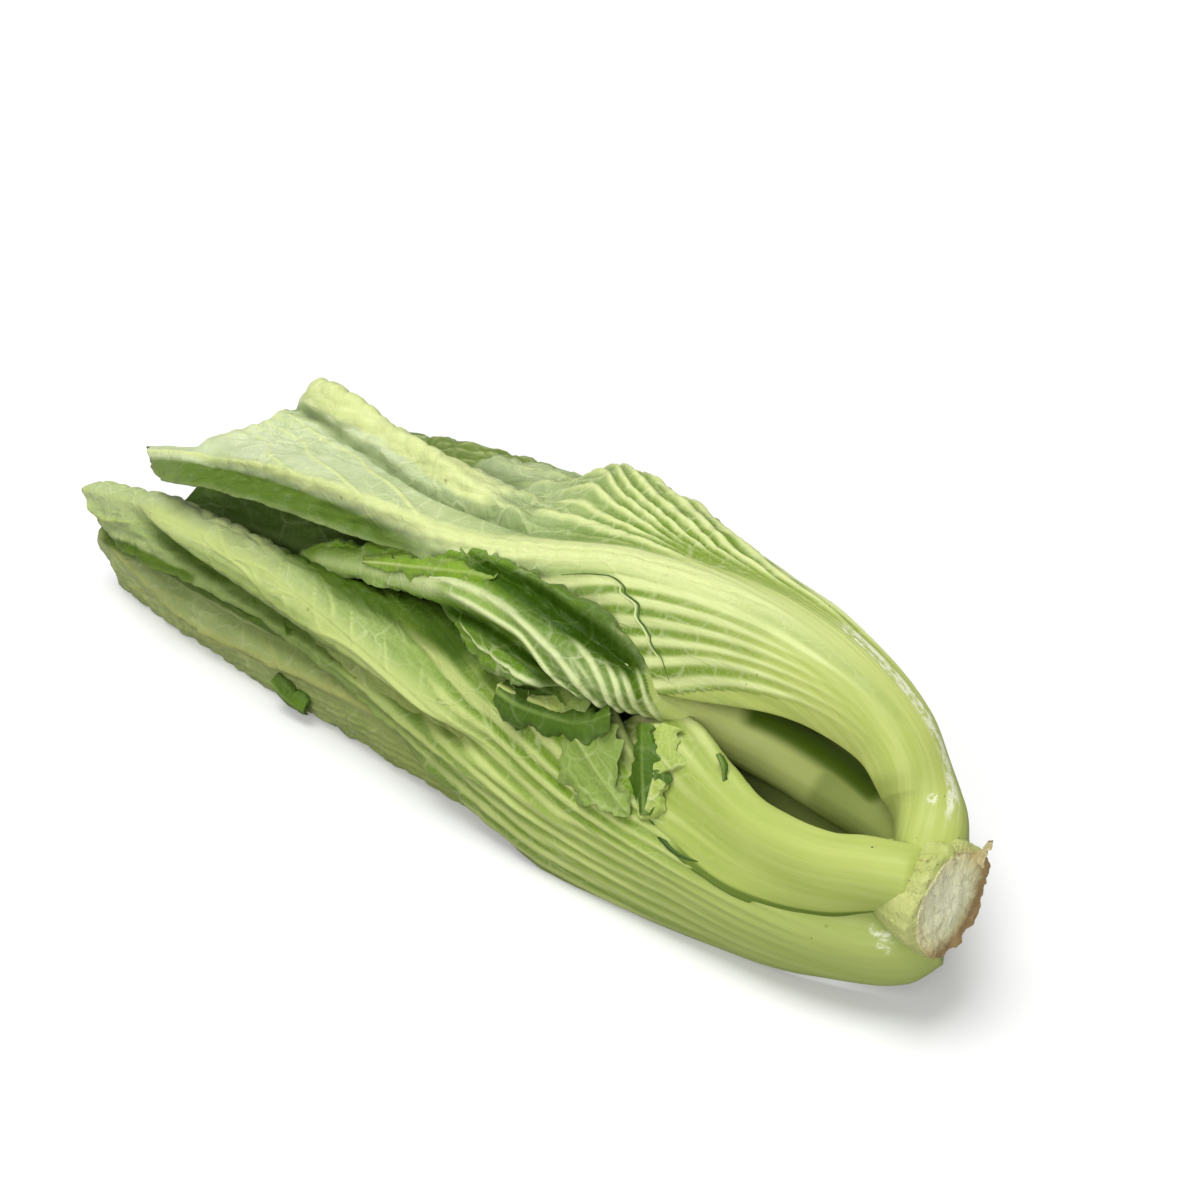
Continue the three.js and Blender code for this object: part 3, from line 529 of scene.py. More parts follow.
            "width": [12, 12, 13, 18, 26, 30, 30, 24, 8],
            "bend": [(30, 40, 20), (20, 20, 20), (5, 20, 30), (5, 20, 40)],
        },
        "left": {
            "width": [12, 12, 13, 18, 24, 28, 28, 22, 8],
            "bend": [(30, 40, 20), (20, 20, 20), (5, 10, 20), (5, 20, 40)],
        },
    },
    "leaf_heart_1": HEART_LEAF | {
        "grid": (140, 66), "pucker": [0, 0, 0.3, 1.0, 1.6, 1.8, 1.8], "seed": 81,
        "spine": [
            (170, -12, 40), (130, -4, 46), (90, 0, 52), (45, -6, 60), (0, -18, 66), (-50, -26, 62), (-100, -32, 50),
        ],
        "roll": [100, 100, 100, 105, 110, 120, 130],
        "both": {
            "fan": [0, 4, 10, 14, 14, 10], "pleat": [0, 0, 0.6, 1.2, 1.2, 0.6], "ruffle": [0, 0, 1, 2.5, 3, 2.5],
        },
        "right": {"width": [10, 12, 14, 22, 30, 28, 8], "bend": [(30, 30, 20), (20, 30, 30), (20, 40, 40)]},
        "left": {"width": [10, 12, 14, 20, 24, 22, 8], "bend": [(30, 30, 20), (20, 20, 20), (20, 30, 40)]},
    },
    "leaf_heart_2": HEART_LEAF | {
        "grid": (140, 60), "seed": 91,
        "spine": [
            (165, -22, 34), (120, -22, 34), (70, -20, 38), (20, -24, 46), (-40, -34, 50), (-95, -40, 50),
            (-150, -44, 46),
        ],
        "roll": [160, 160, 160, 150, 150, 150, 150],
        "both": {"fan": [0, 4, 10, 14, 14, 10], "pleat": [0, 0, 0.6, 1.2, 1.0, 0.6]},
        "right": {
            "width": [8, 10, 14, 20, 24, 22, 8], "bend": [(30, 30, 20), (10, 10, 20), (10, 20, 40)],
            "ruffle": [0, 0, 1, 2, 2.5, 2.5],
        },
        "left": {
            "width": [8, 10, 14, 20, 26, 22, 8], "bend": [(30, 30, 20), (10, 10, 10), (10, 10, 20)],
            "ruffle": [0, 0, 1, 2, 2, 2],
        },
    },
    "leaf_heart_3": HEART_LEAF | {
        "grid": (110, 60), "seed": 101,
        "spine": [
            (160, -30, 26), (120, -26, 20), (70, -18, 18), (20, -14, 22), (-40, -18, 28), (-95, -26, 30),
            (-140, -32, 28),
        ],
        "roll": [270, 280, 290, 300, 300, 290, 280],
        "both": {
            "width": [8, 10, 14, 20, 24, 20, 8], "fan": [0, 4, 10, 14, 14, 10], "pleat": [0, 0, 0.6, 1.2, 1.0, 0.6],
            "ruffle": [0, 0, 1, 1.5, 1.5, 1.5],
        },
        "right": {"bend": [(30, 30, 20), (10, 20, 20), (10, 20, 40)]},
        "left": {"bend": [(30, 30, 20), (10, 20, 20), (10, 20, 30)]},
    },
}
OUTER_LEAVES = [name for name, leaf in LEAVES.items() if leaf["slot"] == "outer_leaf"]
INNER_LEAVES = [name for name, leaf in LEAVES.items() if leaf["slot"] == "inner_leaf"]

# Torn bits, and a dark sheet standing for the shadow beside the flap, built as small leaves: palette,
# spine, where the outer face looks in degrees, half widths along the spine, and the first bend of each
# half in degrees.
SCRAPS = {
    "torn_flap": (
        "light", [(98.5, -65, 41), (100, -62.5, 48), (96, -56, 57), (92, -48, 66)], 150, [1, 5, 8, 7, 8], 12,
    ),
    # painted shadow: a dark sheet beside the torn flap, put where there is only its shadow
    "painted_flap_shadow": (
        "dark", [(100, -63, 42), (97, -60.5, 48), (91, -55.5, 57), (86, -50.5, 64)], 150, [1, 5, 8, 7, 5], 15,
    ),
    "torn_edge": (
        "dark", [(34, -63, 58), (44, -63, 57), (59, -61, 58), (68, -59.5, 60), (80, -59, 69)], 140,
        [4, 7, 6, 7, 3], 25,
    ),
    "torn_leaf": (
        "middling",
        [(56, -57.5, 61), (63, -60.5, 57.5), (71, -63, 54), (80, -65, 49), (89, -66, 44), (95, -66, 41)], 150,
        [7, 10, 11, 10, 6, 2], 8,
    ),
    "torn_frill": (
        "frill",
        [(-43, -51.5, 70), (-31, -52, 74.5), (-14, -53.5, 81), (0, -53, 85.5), (12, -52, 89), (21, -51, 90.5)], 140,
        [2, 4, 4, 4, 3, 1], 25,
    ),
    "torn_tip_1": ("light", [(33, -62.5, 60), (39, -62.5, 60), (45, -61.5, 59.5)], 140, [2, 4, 3], 40),
    "torn_tip_2": ("light", [(46, -61.5, 60.5), (53, -60.5, 60), (59, -61, 58)], 140, [2, 4, 3], 40),
    "torn_curl": (
        "dark", [(115, -47.5, 65), (118, -48.5, 62.5), (120, -50.5, 59.5), (121.5, -52.5, 56)], 150,
        [1, 2.2, 1.5, 2], 60,
    ),
    "torn_foot": ("dark", [(-77, -65.5, 11), (-69, -66, 8.5), (-60, -65.5, 7)], 180, [2, 4, 3], 40),
    "stem_flake": ("dry", [(200.5, -26.5, 56), (202, -26, 60.5), (203.5, -25.5, 65)], 150, [2.2, 1.8, 0.8], 15),
}
FIRST_SCRAP_SEED = 101
LONGEST_SCRAP_TOOTH = 5

# Fine lines along a leaf's outer face: leaf, colour, half width, and the (u, s) places they run through.
LINES = {
    "split": ("leaf_top", (0.07, 0.13, 0.015), 0.38, CRACK),
    "split_lip": ("leaf_top", (0.62, 0.70, 0.32), 0.42, [
        (0.525, -17.6), (0.504, -19.4), (0.494, -22.3), (0.479, -24.4), (0.473, -28.2), (0.463, -30.8),
        (0.453, -35.2), (0.441, -38.2),
    ]),
    "front_edge": ("leaf_front", (0.05, 0.11, 0.008), 0.9, [
        (0.61, -8), (0.59, -10.5), (0.57, -12.8), (0.55, -14.5), (0.525, -16.8), (0.50, -17.6), (0.475, -18),
        (0.45, -17), (0.43, -15.5),
    ]),
}


def scrap_table(spine, outward, width, curl, seed):
    """The table of a torn bit, in the terms of LEAVES."""
    return {
        "grid": (70, 40), "seed": seed, "foot": 0, "petiole": 1.2, "spine": spine, "roll": [outward, outward],
        "midrib": [0.4, 0.2], "midrib_width": [1.0, 0.7], "midrib_pale": [0.6, 0.3], "rib": [0.1, 0.1],
        "green": [1, 1], "pucker": [0.5, 0.5], "teeth": [0.4, 1.0, 1.2],
        "tooth": min(LONGEST_SCRAP_TOOTH, max(width)),
        "both": {
            "width": width, "bend": [(curl, curl), (curl, 1.5 * curl)], "fan": [0, 0], "pleat": [0, 0],
            "ruffle": [0.8, 2.0],
        },
    }


# ---- colours -----------------------------------------------------------------
PALETTES = {
    "leaf_top": {
        "Petiole": (0.44, 0.51, 0.125), "Rib": (0.68, 0.75, 0.34), "Blade": (0.16, 0.27, 0.012),
        "Tip": (0.60, 0.67, 0.42), "Inside": (0.04, 0.09, 0.002),
    },
    "leaf_front": {
        "Petiole": (0.45, 0.53, 0.13), "Rib": (0.62, 0.68, 0.28), "Blade": (0.22, 0.32, 0.03),
        "Tip": (0.16, 0.26, 0.04), "Inside": (0.06, 0.13, 0.01),
    },
    "leaf_bottom": {
        "Petiole": (0.44, 0.51, 0.15), "Rib": (0.50, 0.58, 0.20), "Blade": (0.18, 0.30, 0.018),
        "Tip": (0.46, 0.54, 0.25), "Inside": (0.035, 0.08, 0.001),
    },
    "leaf_under": {
        "Petiole": (0.36, 0.40, 0.12), "Rib": (0.36, 0.39, 0.12), "Blade": (0.24, 0.31, 0.065),
        "Tip": (0.36, 0.43, 0.17), "Inside": (0.06, 0.11, 0.01),
    },
    "leaf_inner": {
        # the petiole is paler than the other leaves' as painted light, standing for light that reaches it deep in the
        # hollow
        "Petiole": (0.70, 0.78, 0.24), "Rib": (0.60, 0.68, 0.34), "Blade": (0.10, 0.19, 0.01),
        "Tip": (0.19, 0.33, 0.025), "Inside": (0.025, 0.065, 0.001),
    },
}
PALETTES["leaf_back"] = PALETTES["leaf_top"] | {"Blade": (0.12, 0.20, 0.02), "Tip": (0.11, 0.18, 0.03)}
PALETTES["leaf_heart"] = PALETTES["leaf_inner"] | {
    "Petiole": (0.35, 0.42, 0.12), "Rib": (0.16, 0.24, 0.06), "Blade": (0.04, 0.08, 0.004),
    "Tip": (0.08, 0.14, 0.02), "Net Strength": 0.3,
}
PALETTES["middling"] = PALETTES["leaf_front"] | {
    "Blade": (0.27, 0.38, 0.08), "Tip": (0.27, 0.38, 0.08), "Inside": (0.10, 0.18, 0.02), "Net Strength": 0.35,
}
PALETTES["frill"] = PALETTES["middling"] | {
    "Blade": (0.22, 0.36, 0.03), "Tip": (0.20, 0.34, 0.025), "Inside": (0.08, 0.16, 0.01),
}
PALETTES["light"] = PALETTES["leaf_front"] | {
    "Blade": (0.40, 0.50, 0.11), "Tip": (0.42, 0.52, 0.12), "Inside": (0.24, 0.34, 0.06),
}
PALETTES["dark"] = PALETTES["leaf_inner"] | {
    "Blade": (0.07, 0.14, 0.010), "Tip": (0.10, 0.19, 0.015), "Rib": (0.26, 0.38, 0.09), "Net Strength": 0.2,
}
PALETTES["dry"] = {part: (0.62, 0.52, 0.30) for part in PALETTES["leaf_top"]}

# multiplied into a colour
DEEPER = (0.62, 0.72, 0.5, 1)
DEEPER_INSIDE = (0.6, 0.7, 0.5, 1)
# the colour of painted shade, as a share of the colour it darkens
DEEP_SHADE = (0.28, 0.38, 0.10, 1)
# painted over it
FINE_VEIN = (0.9, 0.92, 0.7, 1)
FLECK = (0.11, 0.10, 0.02, 1)
# pale streaks: rubbed skin, and a painted highlight along an edge
RUBBED_AND_HIGHLIGHT = (0.84, 0.85, 0.68, 1)
STAIN = (0.33, 0.22, 0.09, 1)
STEM_SKIN = (0.46, 0.53, 0.14, 1)
STEM_SKIN_PALER = (0.58, 0.61, 0.22, 1)
STEM_FRECKLE = (0.28, 0.2, 0.07, 1)
DRIED = (0.50, 0.38, 0.16, 1)
# share of the radius and colour of the cut's rings, between the pith and the rind
CUT_RINGS = [
    (0.5, (0.93, 0.92, 0.58)), (0.68, (0.86, 0.82, 0.46)), (0.82, (0.70, 0.62, 0.32)), (0.93, (0.54, 0.42, 0.19)),
]
# how far red, green and blue light goes into leaf and stem, as a share of a depth in metres
LEAF_LIGHT = (0.6, 1.0, 0.25)
STEM_LIGHT = (0.8, 0.9, 0.3)
LIGHT_DEPTH = 0.003
LIGHT_SHARE = 0.12  # share of the light that goes in


# ---- noise -------------------------------------------------------------------
WORD = 0xFFFFFFFF  # bits kept in the hash
HASH_STEPS = ((13, 1274126177), (16, 2246822519))


def hashed(ix, iy, seed):
    """A repeatable number from 0 to 1 for each whole-number pair."""
    n = (ix.astype(np.int64) * 374761393 + iy.astype(np.int64) * 668265263 + seed * 974634777) & WORD
    for shift, factor in HASH_STEPS:
        n = ((n ^ (n >> shift)) * factor) & WORD
    return ((n ^ (n >> 15)) & 0xFFFFFF) / 0xFFFFFF


def smooth_noise(x, y, seed):
    """Value noise from -1 to 1 with a cell of 1."""
    ix, iy = np.floor(x), np.floor(y)
    fx, fy = (t * t * t * (t * (6 * t - 15) + 10) for t in (x - ix, y - iy))
    low = hashed(ix, iy, seed) * (1 - fx) + hashed(ix + 1, iy, seed) * fx
    high = hashed(ix, iy + 1, seed) * (1 - fx) + hashed(ix + 1, iy + 1, seed) * fx
    return 2 * (low * (1 - fy) + high * fy) - 1


def layered_noise(x, y, seed, octaves=3):
    """Noise from about -1 to 1, with finer noise on top."""
    x, y = np.broadcast_arrays(x, y)
    total = np.zeros(x.shape)
    size = 1.0
    for k in range(octaves):
        total += size * smooth_noise(x * 2**k, y * 2**k, seed + 17 * k)
        size *= 0.5
    return total / (2 - 2 ** (1 - octaves))


def uneven(wave, ell, s, seed):
    """Noise with its own wave lengths along and across a leaf, and its own height."""
    long, wide, height = wave
    return layered_noise(s / wide, ell / long, seed) * height


def cell_dome(x, y, seed):
    """Rounded blisters: 0 on the borders of random cells, up to 1 in their middles."""
    ix, iy = np.floor(x), np.floor(y)
    near = np.full(x.shape, 9.0)
    second = np.full(x.shape, 9.0)
    for dx in (-1, 0, 1):
        for dy in (-1, 0, 1):
            px = ix + dx + CELL_INSET + (1 - 2 * CELL_INSET) * hashed(ix + dx, iy + dy, seed)
            py = iy + dy + CELL_INSET + (1 - 2 * CELL_INSET) * hashed(ix + dx, iy + dy, seed + 5)
            d = np.hypot(px - x, py - y)
            second = np.minimum(second, np.maximum(near, d))
            near = np.minimum(near, d)
    gap = np.clip((second - near) / DOME_EDGE, 0, 1)
    return gap * (2 - gap)


def ease(x, low, high):
    """A smooth step from 0 at low to 1 at high."""
    t = np.clip((x - low) / (high - low), 0, 1)
    return t * t * (3 - 2 * t)


# ---- leaf surface ------------------------------------------------------------
def along(values, u):
    """Smooth curve through evenly spread numbers or rows, at each u from 0 to 1."""
    rows = np.asarray(values, float)
    flat = rows.ndim == 1
    if flat:
        rows = rows[:, None]
    span = np.clip(u, 0, 1) * (len(rows) - 1)
    i = np.minimum(span.astype(int), len(rows) - 2)
    t = (span - i)[:, None]
    padded = np.vstack([2 * rows[0] - rows[1], rows, 2 * rows[-1] - rows[-2]])
    p0, p1, p2, p3 = (padded[i + k] for k in range(4))
    square = (2 * p0 - 5 * p1 + 4 * p2 - p3) * t**2
    cube = (3 * p1 - p0 - 3 * p2 + p3) * t**3
    result = 0.5 * (2 * p1 + (p2 - p0) * t + square + cube)
    return result[:, 0] if flat else result


def spine_frames(leaf, u):
    """Midrib points, and the forward, outward and sideways directions there."""
    step = 1e-3
    origin = along(leaf["spine"], u)
    forward = along(leaf["spine"], np.minimum(u + step, 1)) - along(leaf["spine"], np.maximum(u - step, 0))
    forward /= np.linalg.norm(forward, axis=1)[:, None]
    angle = np.radians(along(leaf["roll"], u))
    outward = np.stack([0 * angle, np.cos(angle), np.sin(angle)], 1)
    outward -= (outward * forward).sum(1)[:, None] * forward
    outward /= np.linalg.norm(outward, axis=1)[:, None]
    return origin, outward, np.cross(forward, outward)


def arc_lengths(points):
    return np.concatenate([[0], np.cumsum(np.linalg.norm(np.diff(points, axis=0), axis=1))])


def half_section(half, u, q, width):
    """Sideways and inward offsets and the angle, for each u and each share q of the half width."""
    bends = np.radians(along(half["bend"], u))
    spans = bends.shape[1]
    knots = np.concatenate([np.zeros((len(u), 1)), np.cumsum(bends, 1)], 1)
    fine = np.linspace(0, 1, spans * BEND_STEPS + 1)
    angle = along(knots.T, fine).T
    step = 1 / (spans * BEND_STEPS)
    offsets = []
    for part in (np.cos(angle), np.sin(angle)):
        total = np.cumsum((part[:, 1:] + part[:, :-1]) / 2, 1) * step
        total = np.concatenate([np.zeros((len(u), 1)), total], 1)
        offsets.append(np.stack([np.interp(q, fine, row) for row in total]) * width[:, None])
    return offsets[0], offsets[1], np.stack([np.interp(q, fine, row) for row in angle])


def half_lanes(half, u, length, distance, seed):
    """Rib number at each point: whole-number steps apart, spreading from the midrib as the blade fans."""
    rate = np.maximum(along(half["fan"], u), 0) * MM
    spread = np.concatenate([[0], np.cumsum((rate[1:] + rate[:-1]) / 2 * np.diff(length))])
    lane = (np.log((distance + RIB_ROOT) / RIB_ROOT) - spread[:, None]) / RIB_STEP
    long, wide, height = LANE_DRIFT
    return lane + height * layered_noise(length[:, None] / long, distance / wide, seed + 23, 2)


def curve_distance(points, ell, s, u_of, length):
    """Distance of each grid point from a curve of (u, s) points, and how far along the curve it lies."""
    path = along(points, np.linspace(0, 1, CURVE_STEPS * len(points)))
    path = np.stack([np.interp(path[:, 0], u_of, length), path[:, 1]], 1)
    nearest = np.full(ell.shape, 1e9)
    place = np.zeros(ell.shape)
    above = np.zeros(ell.shape, bool)
    for k in range(len(path) - 1):
        start = path[k]
        step = path[k + 1] - start
        de, ds = ell - start[0], s - start[1]
        t = np.clip((de * step[0] + ds * step[1]) / max(step @ step, 1e-9), 0, 1)
        d = np.hypot(de - t * step[0], ds - t * step[1])
        closer = d < nearest
        nearest = np.where(closer, d, nearest)
        place = np.where(closer, (k + t) / (len(path) - 1), place)
        above = np.where(closer, (ds * step[0] - de * step[1]) * np.sign(step[0]) > 0, above)
    return nearest, place, above


def width_at(size, above):
    """Half width beside a curve: one number, or one for each side of it."""
    low, high = size if isinstance(size, tuple) else (size, size)
    return np.where(above, high, low)


def faded(place):
    """Fades a fold or mark out at both ends of its curve."""
    return ease(place, -0.02, 0.12) * (1 - ease(place, 0.88, 1.02))


def add_features(leaf, u, length, ell, s):
    """Height of a leaf's own folds, height of its own veins, and a mask of the veins."""
    folds = np.zeros(ell.shape)
    veins = np.zeros(ell.shape)
    mask = np.zeros(ell.shape)
    for points, size, rise in leaf.get("folds", []):
        d, place, above = curve_distance(points, ell, s, u, length)
        folds += rise * np.exp(-((d / width_at(size, above)) ** 2)) * faded(place)
    for points, wide, rise in leaf.get("veins", []):
        d, place, _ = curve_distance(points, ell, s, u, length)
        shape = np.exp(-((d / (wide * (1 - VEIN_TAPER * place))) ** 2))
        veins = np.maximum(veins, rise * (1 - VEIN_SINKING * place) * shape)
        mask = np.maximum(mask, shape * min(1, rise / FULL_VEIN))
    return folds, veins, mask


def add_marks(marks, u, length, ell, s):
    """Strength, from 0 to 1, of the marks painted along curves: painted shade deep in a hollow, a paler band,
    or a pale streak of rubbed skin with a painted highlight along an edge.
    """
    total = np.zeros(ell.shape)
    for points, size, *strength in marks:
        d, place, above = curve_distance(points, ell, s, u, length)
        shape = (strength or [1.0])[0] * np.exp(-((d / width_at(size, above)) ** 4))
        total = np.maximum(total, shape * faded(place))
    return total


def add_lanes(leaf, u, s):
    """Height and mask of the ribs that run along a leaf's own lanes, and how green the blade is between them."""
    paths = [np.interp(u, *zip(*points)) for points in leaf["lanes"]]
    window = np.hanning(2 * LANE_SMOOTHING + 3)[1:-1]
    padded = [np.pad(path, LANE_SMOOTHING, "edge") for path in paths]
    places = np.stack([np.convolve(path, window / window.sum(), "valid") for path in padded], 1)
    order = LEAST_GAP * np.arange(places.shape[1])
    places = np.maximum.accumulate(places - order, 1) + order
    gaps = np.diff(places, axis=1)
    wide = np.maximum(gaps, WIDENING_GAP)
    first = places[:, :1] - LANES_BEYOND * wide[:, :1]
    last = places[:, -1:] + LANES_BEYOND * wide[:, -1:]
    places = np.concatenate([first, places, last], 1)
    numbers = np.concatenate([[-LANES_BEYOND], np.arange(len(paths)), [len(paths) - 1 + LANES_BEYOND]])
    lane = np.stack([np.interp(row, place, numbers) for row, place in zip(s, places)])
    middles = (places[:, 1:-2] + places[:, 2:-1]) / 2
    gap = np.stack([np.interp(row, middle, width) for row, middle, width in zip(s, middles, gaps)])
    nearest = np.round(lane)
    rise = np.interp(nearest, np.arange(len(paths)), leaf["lane_rise"])
    own = np.interp(nearest, [-1, 0, len(paths) - 1, len(paths)], [0, 1, 1, 0])
    from_rib = np.abs(lane - nearest) * gap
    from_minor = (0.5 - np.abs(lane - nearest)) * gap
    rib = np.exp(-((from_rib / np.minimum(RIB_SPREAD * gap, leaf.get("rib_width", RIB_WIDTH))) ** 2))
    minor = MINOR_RIB_HEIGHT * np.exp(-((from_minor / MINOR_RIB_WIDTH) ** 2)) * ease(gap, *MINOR_RIB_GAPS)
    reach = own * along(leaf["lane_reach"], u)[:, None] * ease(gap, *RIB_GAPS)
    if "lane_end" in leaf:
        end = np.interp(nearest, np.arange(len(paths)), leaf["lane_end"])
        reach = reach * (1 - ease(u[:, None] - end, *LANE_FADE))
    shape = np.maximum(rib, minor)
    between = (1 - shape) * ease(gap, *BLADE_GAPS) * reach
    return shape * rise * reach, shape * reach, between


def half_leaf(leaf, name, sign, u, q, length, foot):
    """One half of a leaf, from midrib to margin: where its grid lies, its ribs, and what colours it."""
    half = leaf.get("both", {}) | leaf.get(name, {})
    seed = leaf["seed"]
    tip = np.sqrt(np.clip(1 - ((u / u[-1] - TIP_START) / (1 - TIP_START)).clip(0) ** 2, TIP_LEAST, 1))
    teeth = layered_noise(length / leaf.get("tooth", TOOTH_LENGTH), sign * SIDES_APART, seed + 3, 4)
    jagged = along(leaf.get("teeth", TEETH), u)
    width = along(half["width"], u) * tip * (1 + jagged * teeth) * (1 - FOOT_NARROWING * foot)
    across, inward, angle = half_section(half, u, q, width)
    distance = q[None, :] * width[:, None]
    lane = half_lanes(half, u, length, distance, seed + 31 * sign)
    ridge = (0.5 + 0.5 * np.cos(2 * np.pi * lane)) ** RIB_ROUNDING
    pleat = along(half["pleat"], u)[:, None] * ease(distance, *PLEAT_FROM)
    long, wide, height = RUFFLE
    wave = layered_noise(length[:, None] / long, distance / wide + sign * RUFFLES_APART, seed + 9)
    ruffle = along(half["ruffle"], u)[:, None] * ease(q, *RUFFLE_FROM)[None, :] ** 1.5 * wave * height
    shares = {
        key: np.repeat(along(half.get(key, leaf.get(key, [0, 0])), u)[:, None], len(q), 1)
        for key in ("green", "dark")
    }
    return shares | {
        "x": sign * across, "z": inward, "angle": sign * angle, "s": sign * distance, "lane": lane,
        "shift": pleat * (ridge - 0.5) + ruffle, "edge": np.repeat(q[None, :], len(u), 0),
        "margin": width[:, None] - distance,
        "pale": ridge**3 * along(half.get("rib", leaf["rib"]), u)[:, None] * ease(distance, *RIB_PALE_FROM),
    }


def raised_parts(leaf, green, u, length, ell, s, sizes):
    """Folds, veins and their mask with a leaf's ribs added, and green with the blade between the ribs."""
    folds, veins, mask = add_features(leaf, u, length, ell, s)
    if "lanes" in leaf:
        ribs, rib_mask, between = add_lanes(leaf, u, s)
        ribs = ribs * sizes.rib_height
        folds = folds + RIB_BEND * ribs
        veins = np.maximum(veins, RIB_THICKENING * ribs)
        mask = np.maximum(mask, rib_mask)
        green = np.clip(green + GREEN_BETWEEN * between, 0, 1)
    return folds, veins, mask, green


def leaf_grids(leaf, sizes):
    """Outer and inner grids of points, and the values that the finish reads at each of them."""
    rows, columns = leaf["grid"]
    seed = leaf["seed"]
    u = np.linspace(0, leaf.get("end", 1), rows)
    q = np.linspace(0, 1, columns // 2 + 1)
    origin, outward, side = spine_frames(leaf, u)
    length = arc_lengths(origin)
    foot = 1 - ease(u, -FOOT_END, FOOT_END)
    origin = origin - outward * (2 * leaf.get("foot", FOOT_DEPTH) * foot)[:, None]
    left = half_leaf(leaf, "left", -1, u, q, length, foot)
    right = half_leaf(leaf, "right", 1, u, q, length, foot)
    joined = {key: np.concatenate([left[key][:, ::-1], right[key][:, 1:]], 1) for key in left}
    s = joined["s"]
    ell = np.repeat(length[:, None], s.shape[1], 1)

    # the sheet, and how far its folds, dents and blisters shift it
    turn = joined["angle"][..., None]
    normal = outward[:, None] * np.cos(turn) + side[:, None] * np.sin(turn)
    points = origin[:, None] + side[:, None] * joined["x"][..., None] - outward[:, None] * joined["z"][..., None]
    green = np.clip(joined["green"], 0, 1)
    rough = uneven(LONG_FOLD, ell, s, seed + 1) + uneven(DENT, ell, s, seed + 2)
    shift = joined["shift"] + rough * (PETIOLE_UNEVENNESS + (1 - PETIOLE_UNEVENNESS) * green)
    dome = cell_dome(s / BLISTER[1] + 0.25 * joined["lane"], ell / BLISTER[0], seed)
    shift += along(leaf["pucker"], u)[:, None] * (dome - 0.5) * ease(np.abs(s), *BLISTER_FROM)

    # its two faces
    folds, veins, mask, green = raised_parts(leaf, green, u, length, ell, s, sizes)
    midrib_width = along(leaf["midrib_width"], u)[:, None]
    from_midrib = s - along(leaf.get("midrib_at", [0, 0]), u)[:, None]
    midrib = np.exp(-((from_midrib / midrib_width) ** 2))
    share = 1 - ease(u, 0, PETIOLE_END)
    blade, rim = sizes.blade_thickness / MM, sizes.margin_thickness / MM
    middle = blade + (leaf["petiole"] - blade) * share
    thickness = rim + (middle[:, None] - rim) * (1 - joined["edge"] ** 2)
    inwards = normal * (1 - share[:, None, None]) + outward[:, None] * share[:, None, None]
    inwards /= np.linalg.norm(inwards, axis=2)[..., None]
    moved = points + normal * (shift + folds)[..., None]
    outer = moved + normal * (along(leaf["midrib"], u)[:, None] * midrib + veins)[..., None]
    inner = moved - inwards * thickness[..., None]

    # what colours it, with painted highlight on raised folds and painted shade in folds and hollows
    pale = np.maximum(np.maximum(joined["pale"], midrib * along(leaf["midrib_pale"], u)[:, None]), mask)
    # raised folds pale as a painted highlight, and the paler marks add to it
    pale += FOLD_HIGHLIGHT * np.maximum(folds, 0) + add_marks(leaf.get("paler", []), u, length, ell, s)
    # dark is painted shade: on the half beyond the midrib, down each fold, and along the shade marks
    beyond = ease(np.abs(from_midrib) - midrib_width, *MIDRIB_EDGE) * (s * from_midrib > 0)
    dark = joined["dark"] * beyond + CREASE_SHADE * np.maximum(-folds, 0)
    dark += add_marks(leaf.get("shades", []), u, length, ell, s)
    values = {
        "green": green, "pale": np.clip(pale, 0, 1), "reach": np.repeat(u[:, None], s.shape[1], 1),
        "margin": joined["margin"], "dark": np.clip(dark, 0, 1),
        "scuff": add_marks(leaf.get("scuffs_and_highlights", []), u, length, ell, s), "s": s, "ell": ell,
    }
    return outer, inner, values


# ---- meshes ------------------------------------------------------------------
PAINTED = ("green", "pale", "reach", "margin", "dark", "scuff")  # read by the finish


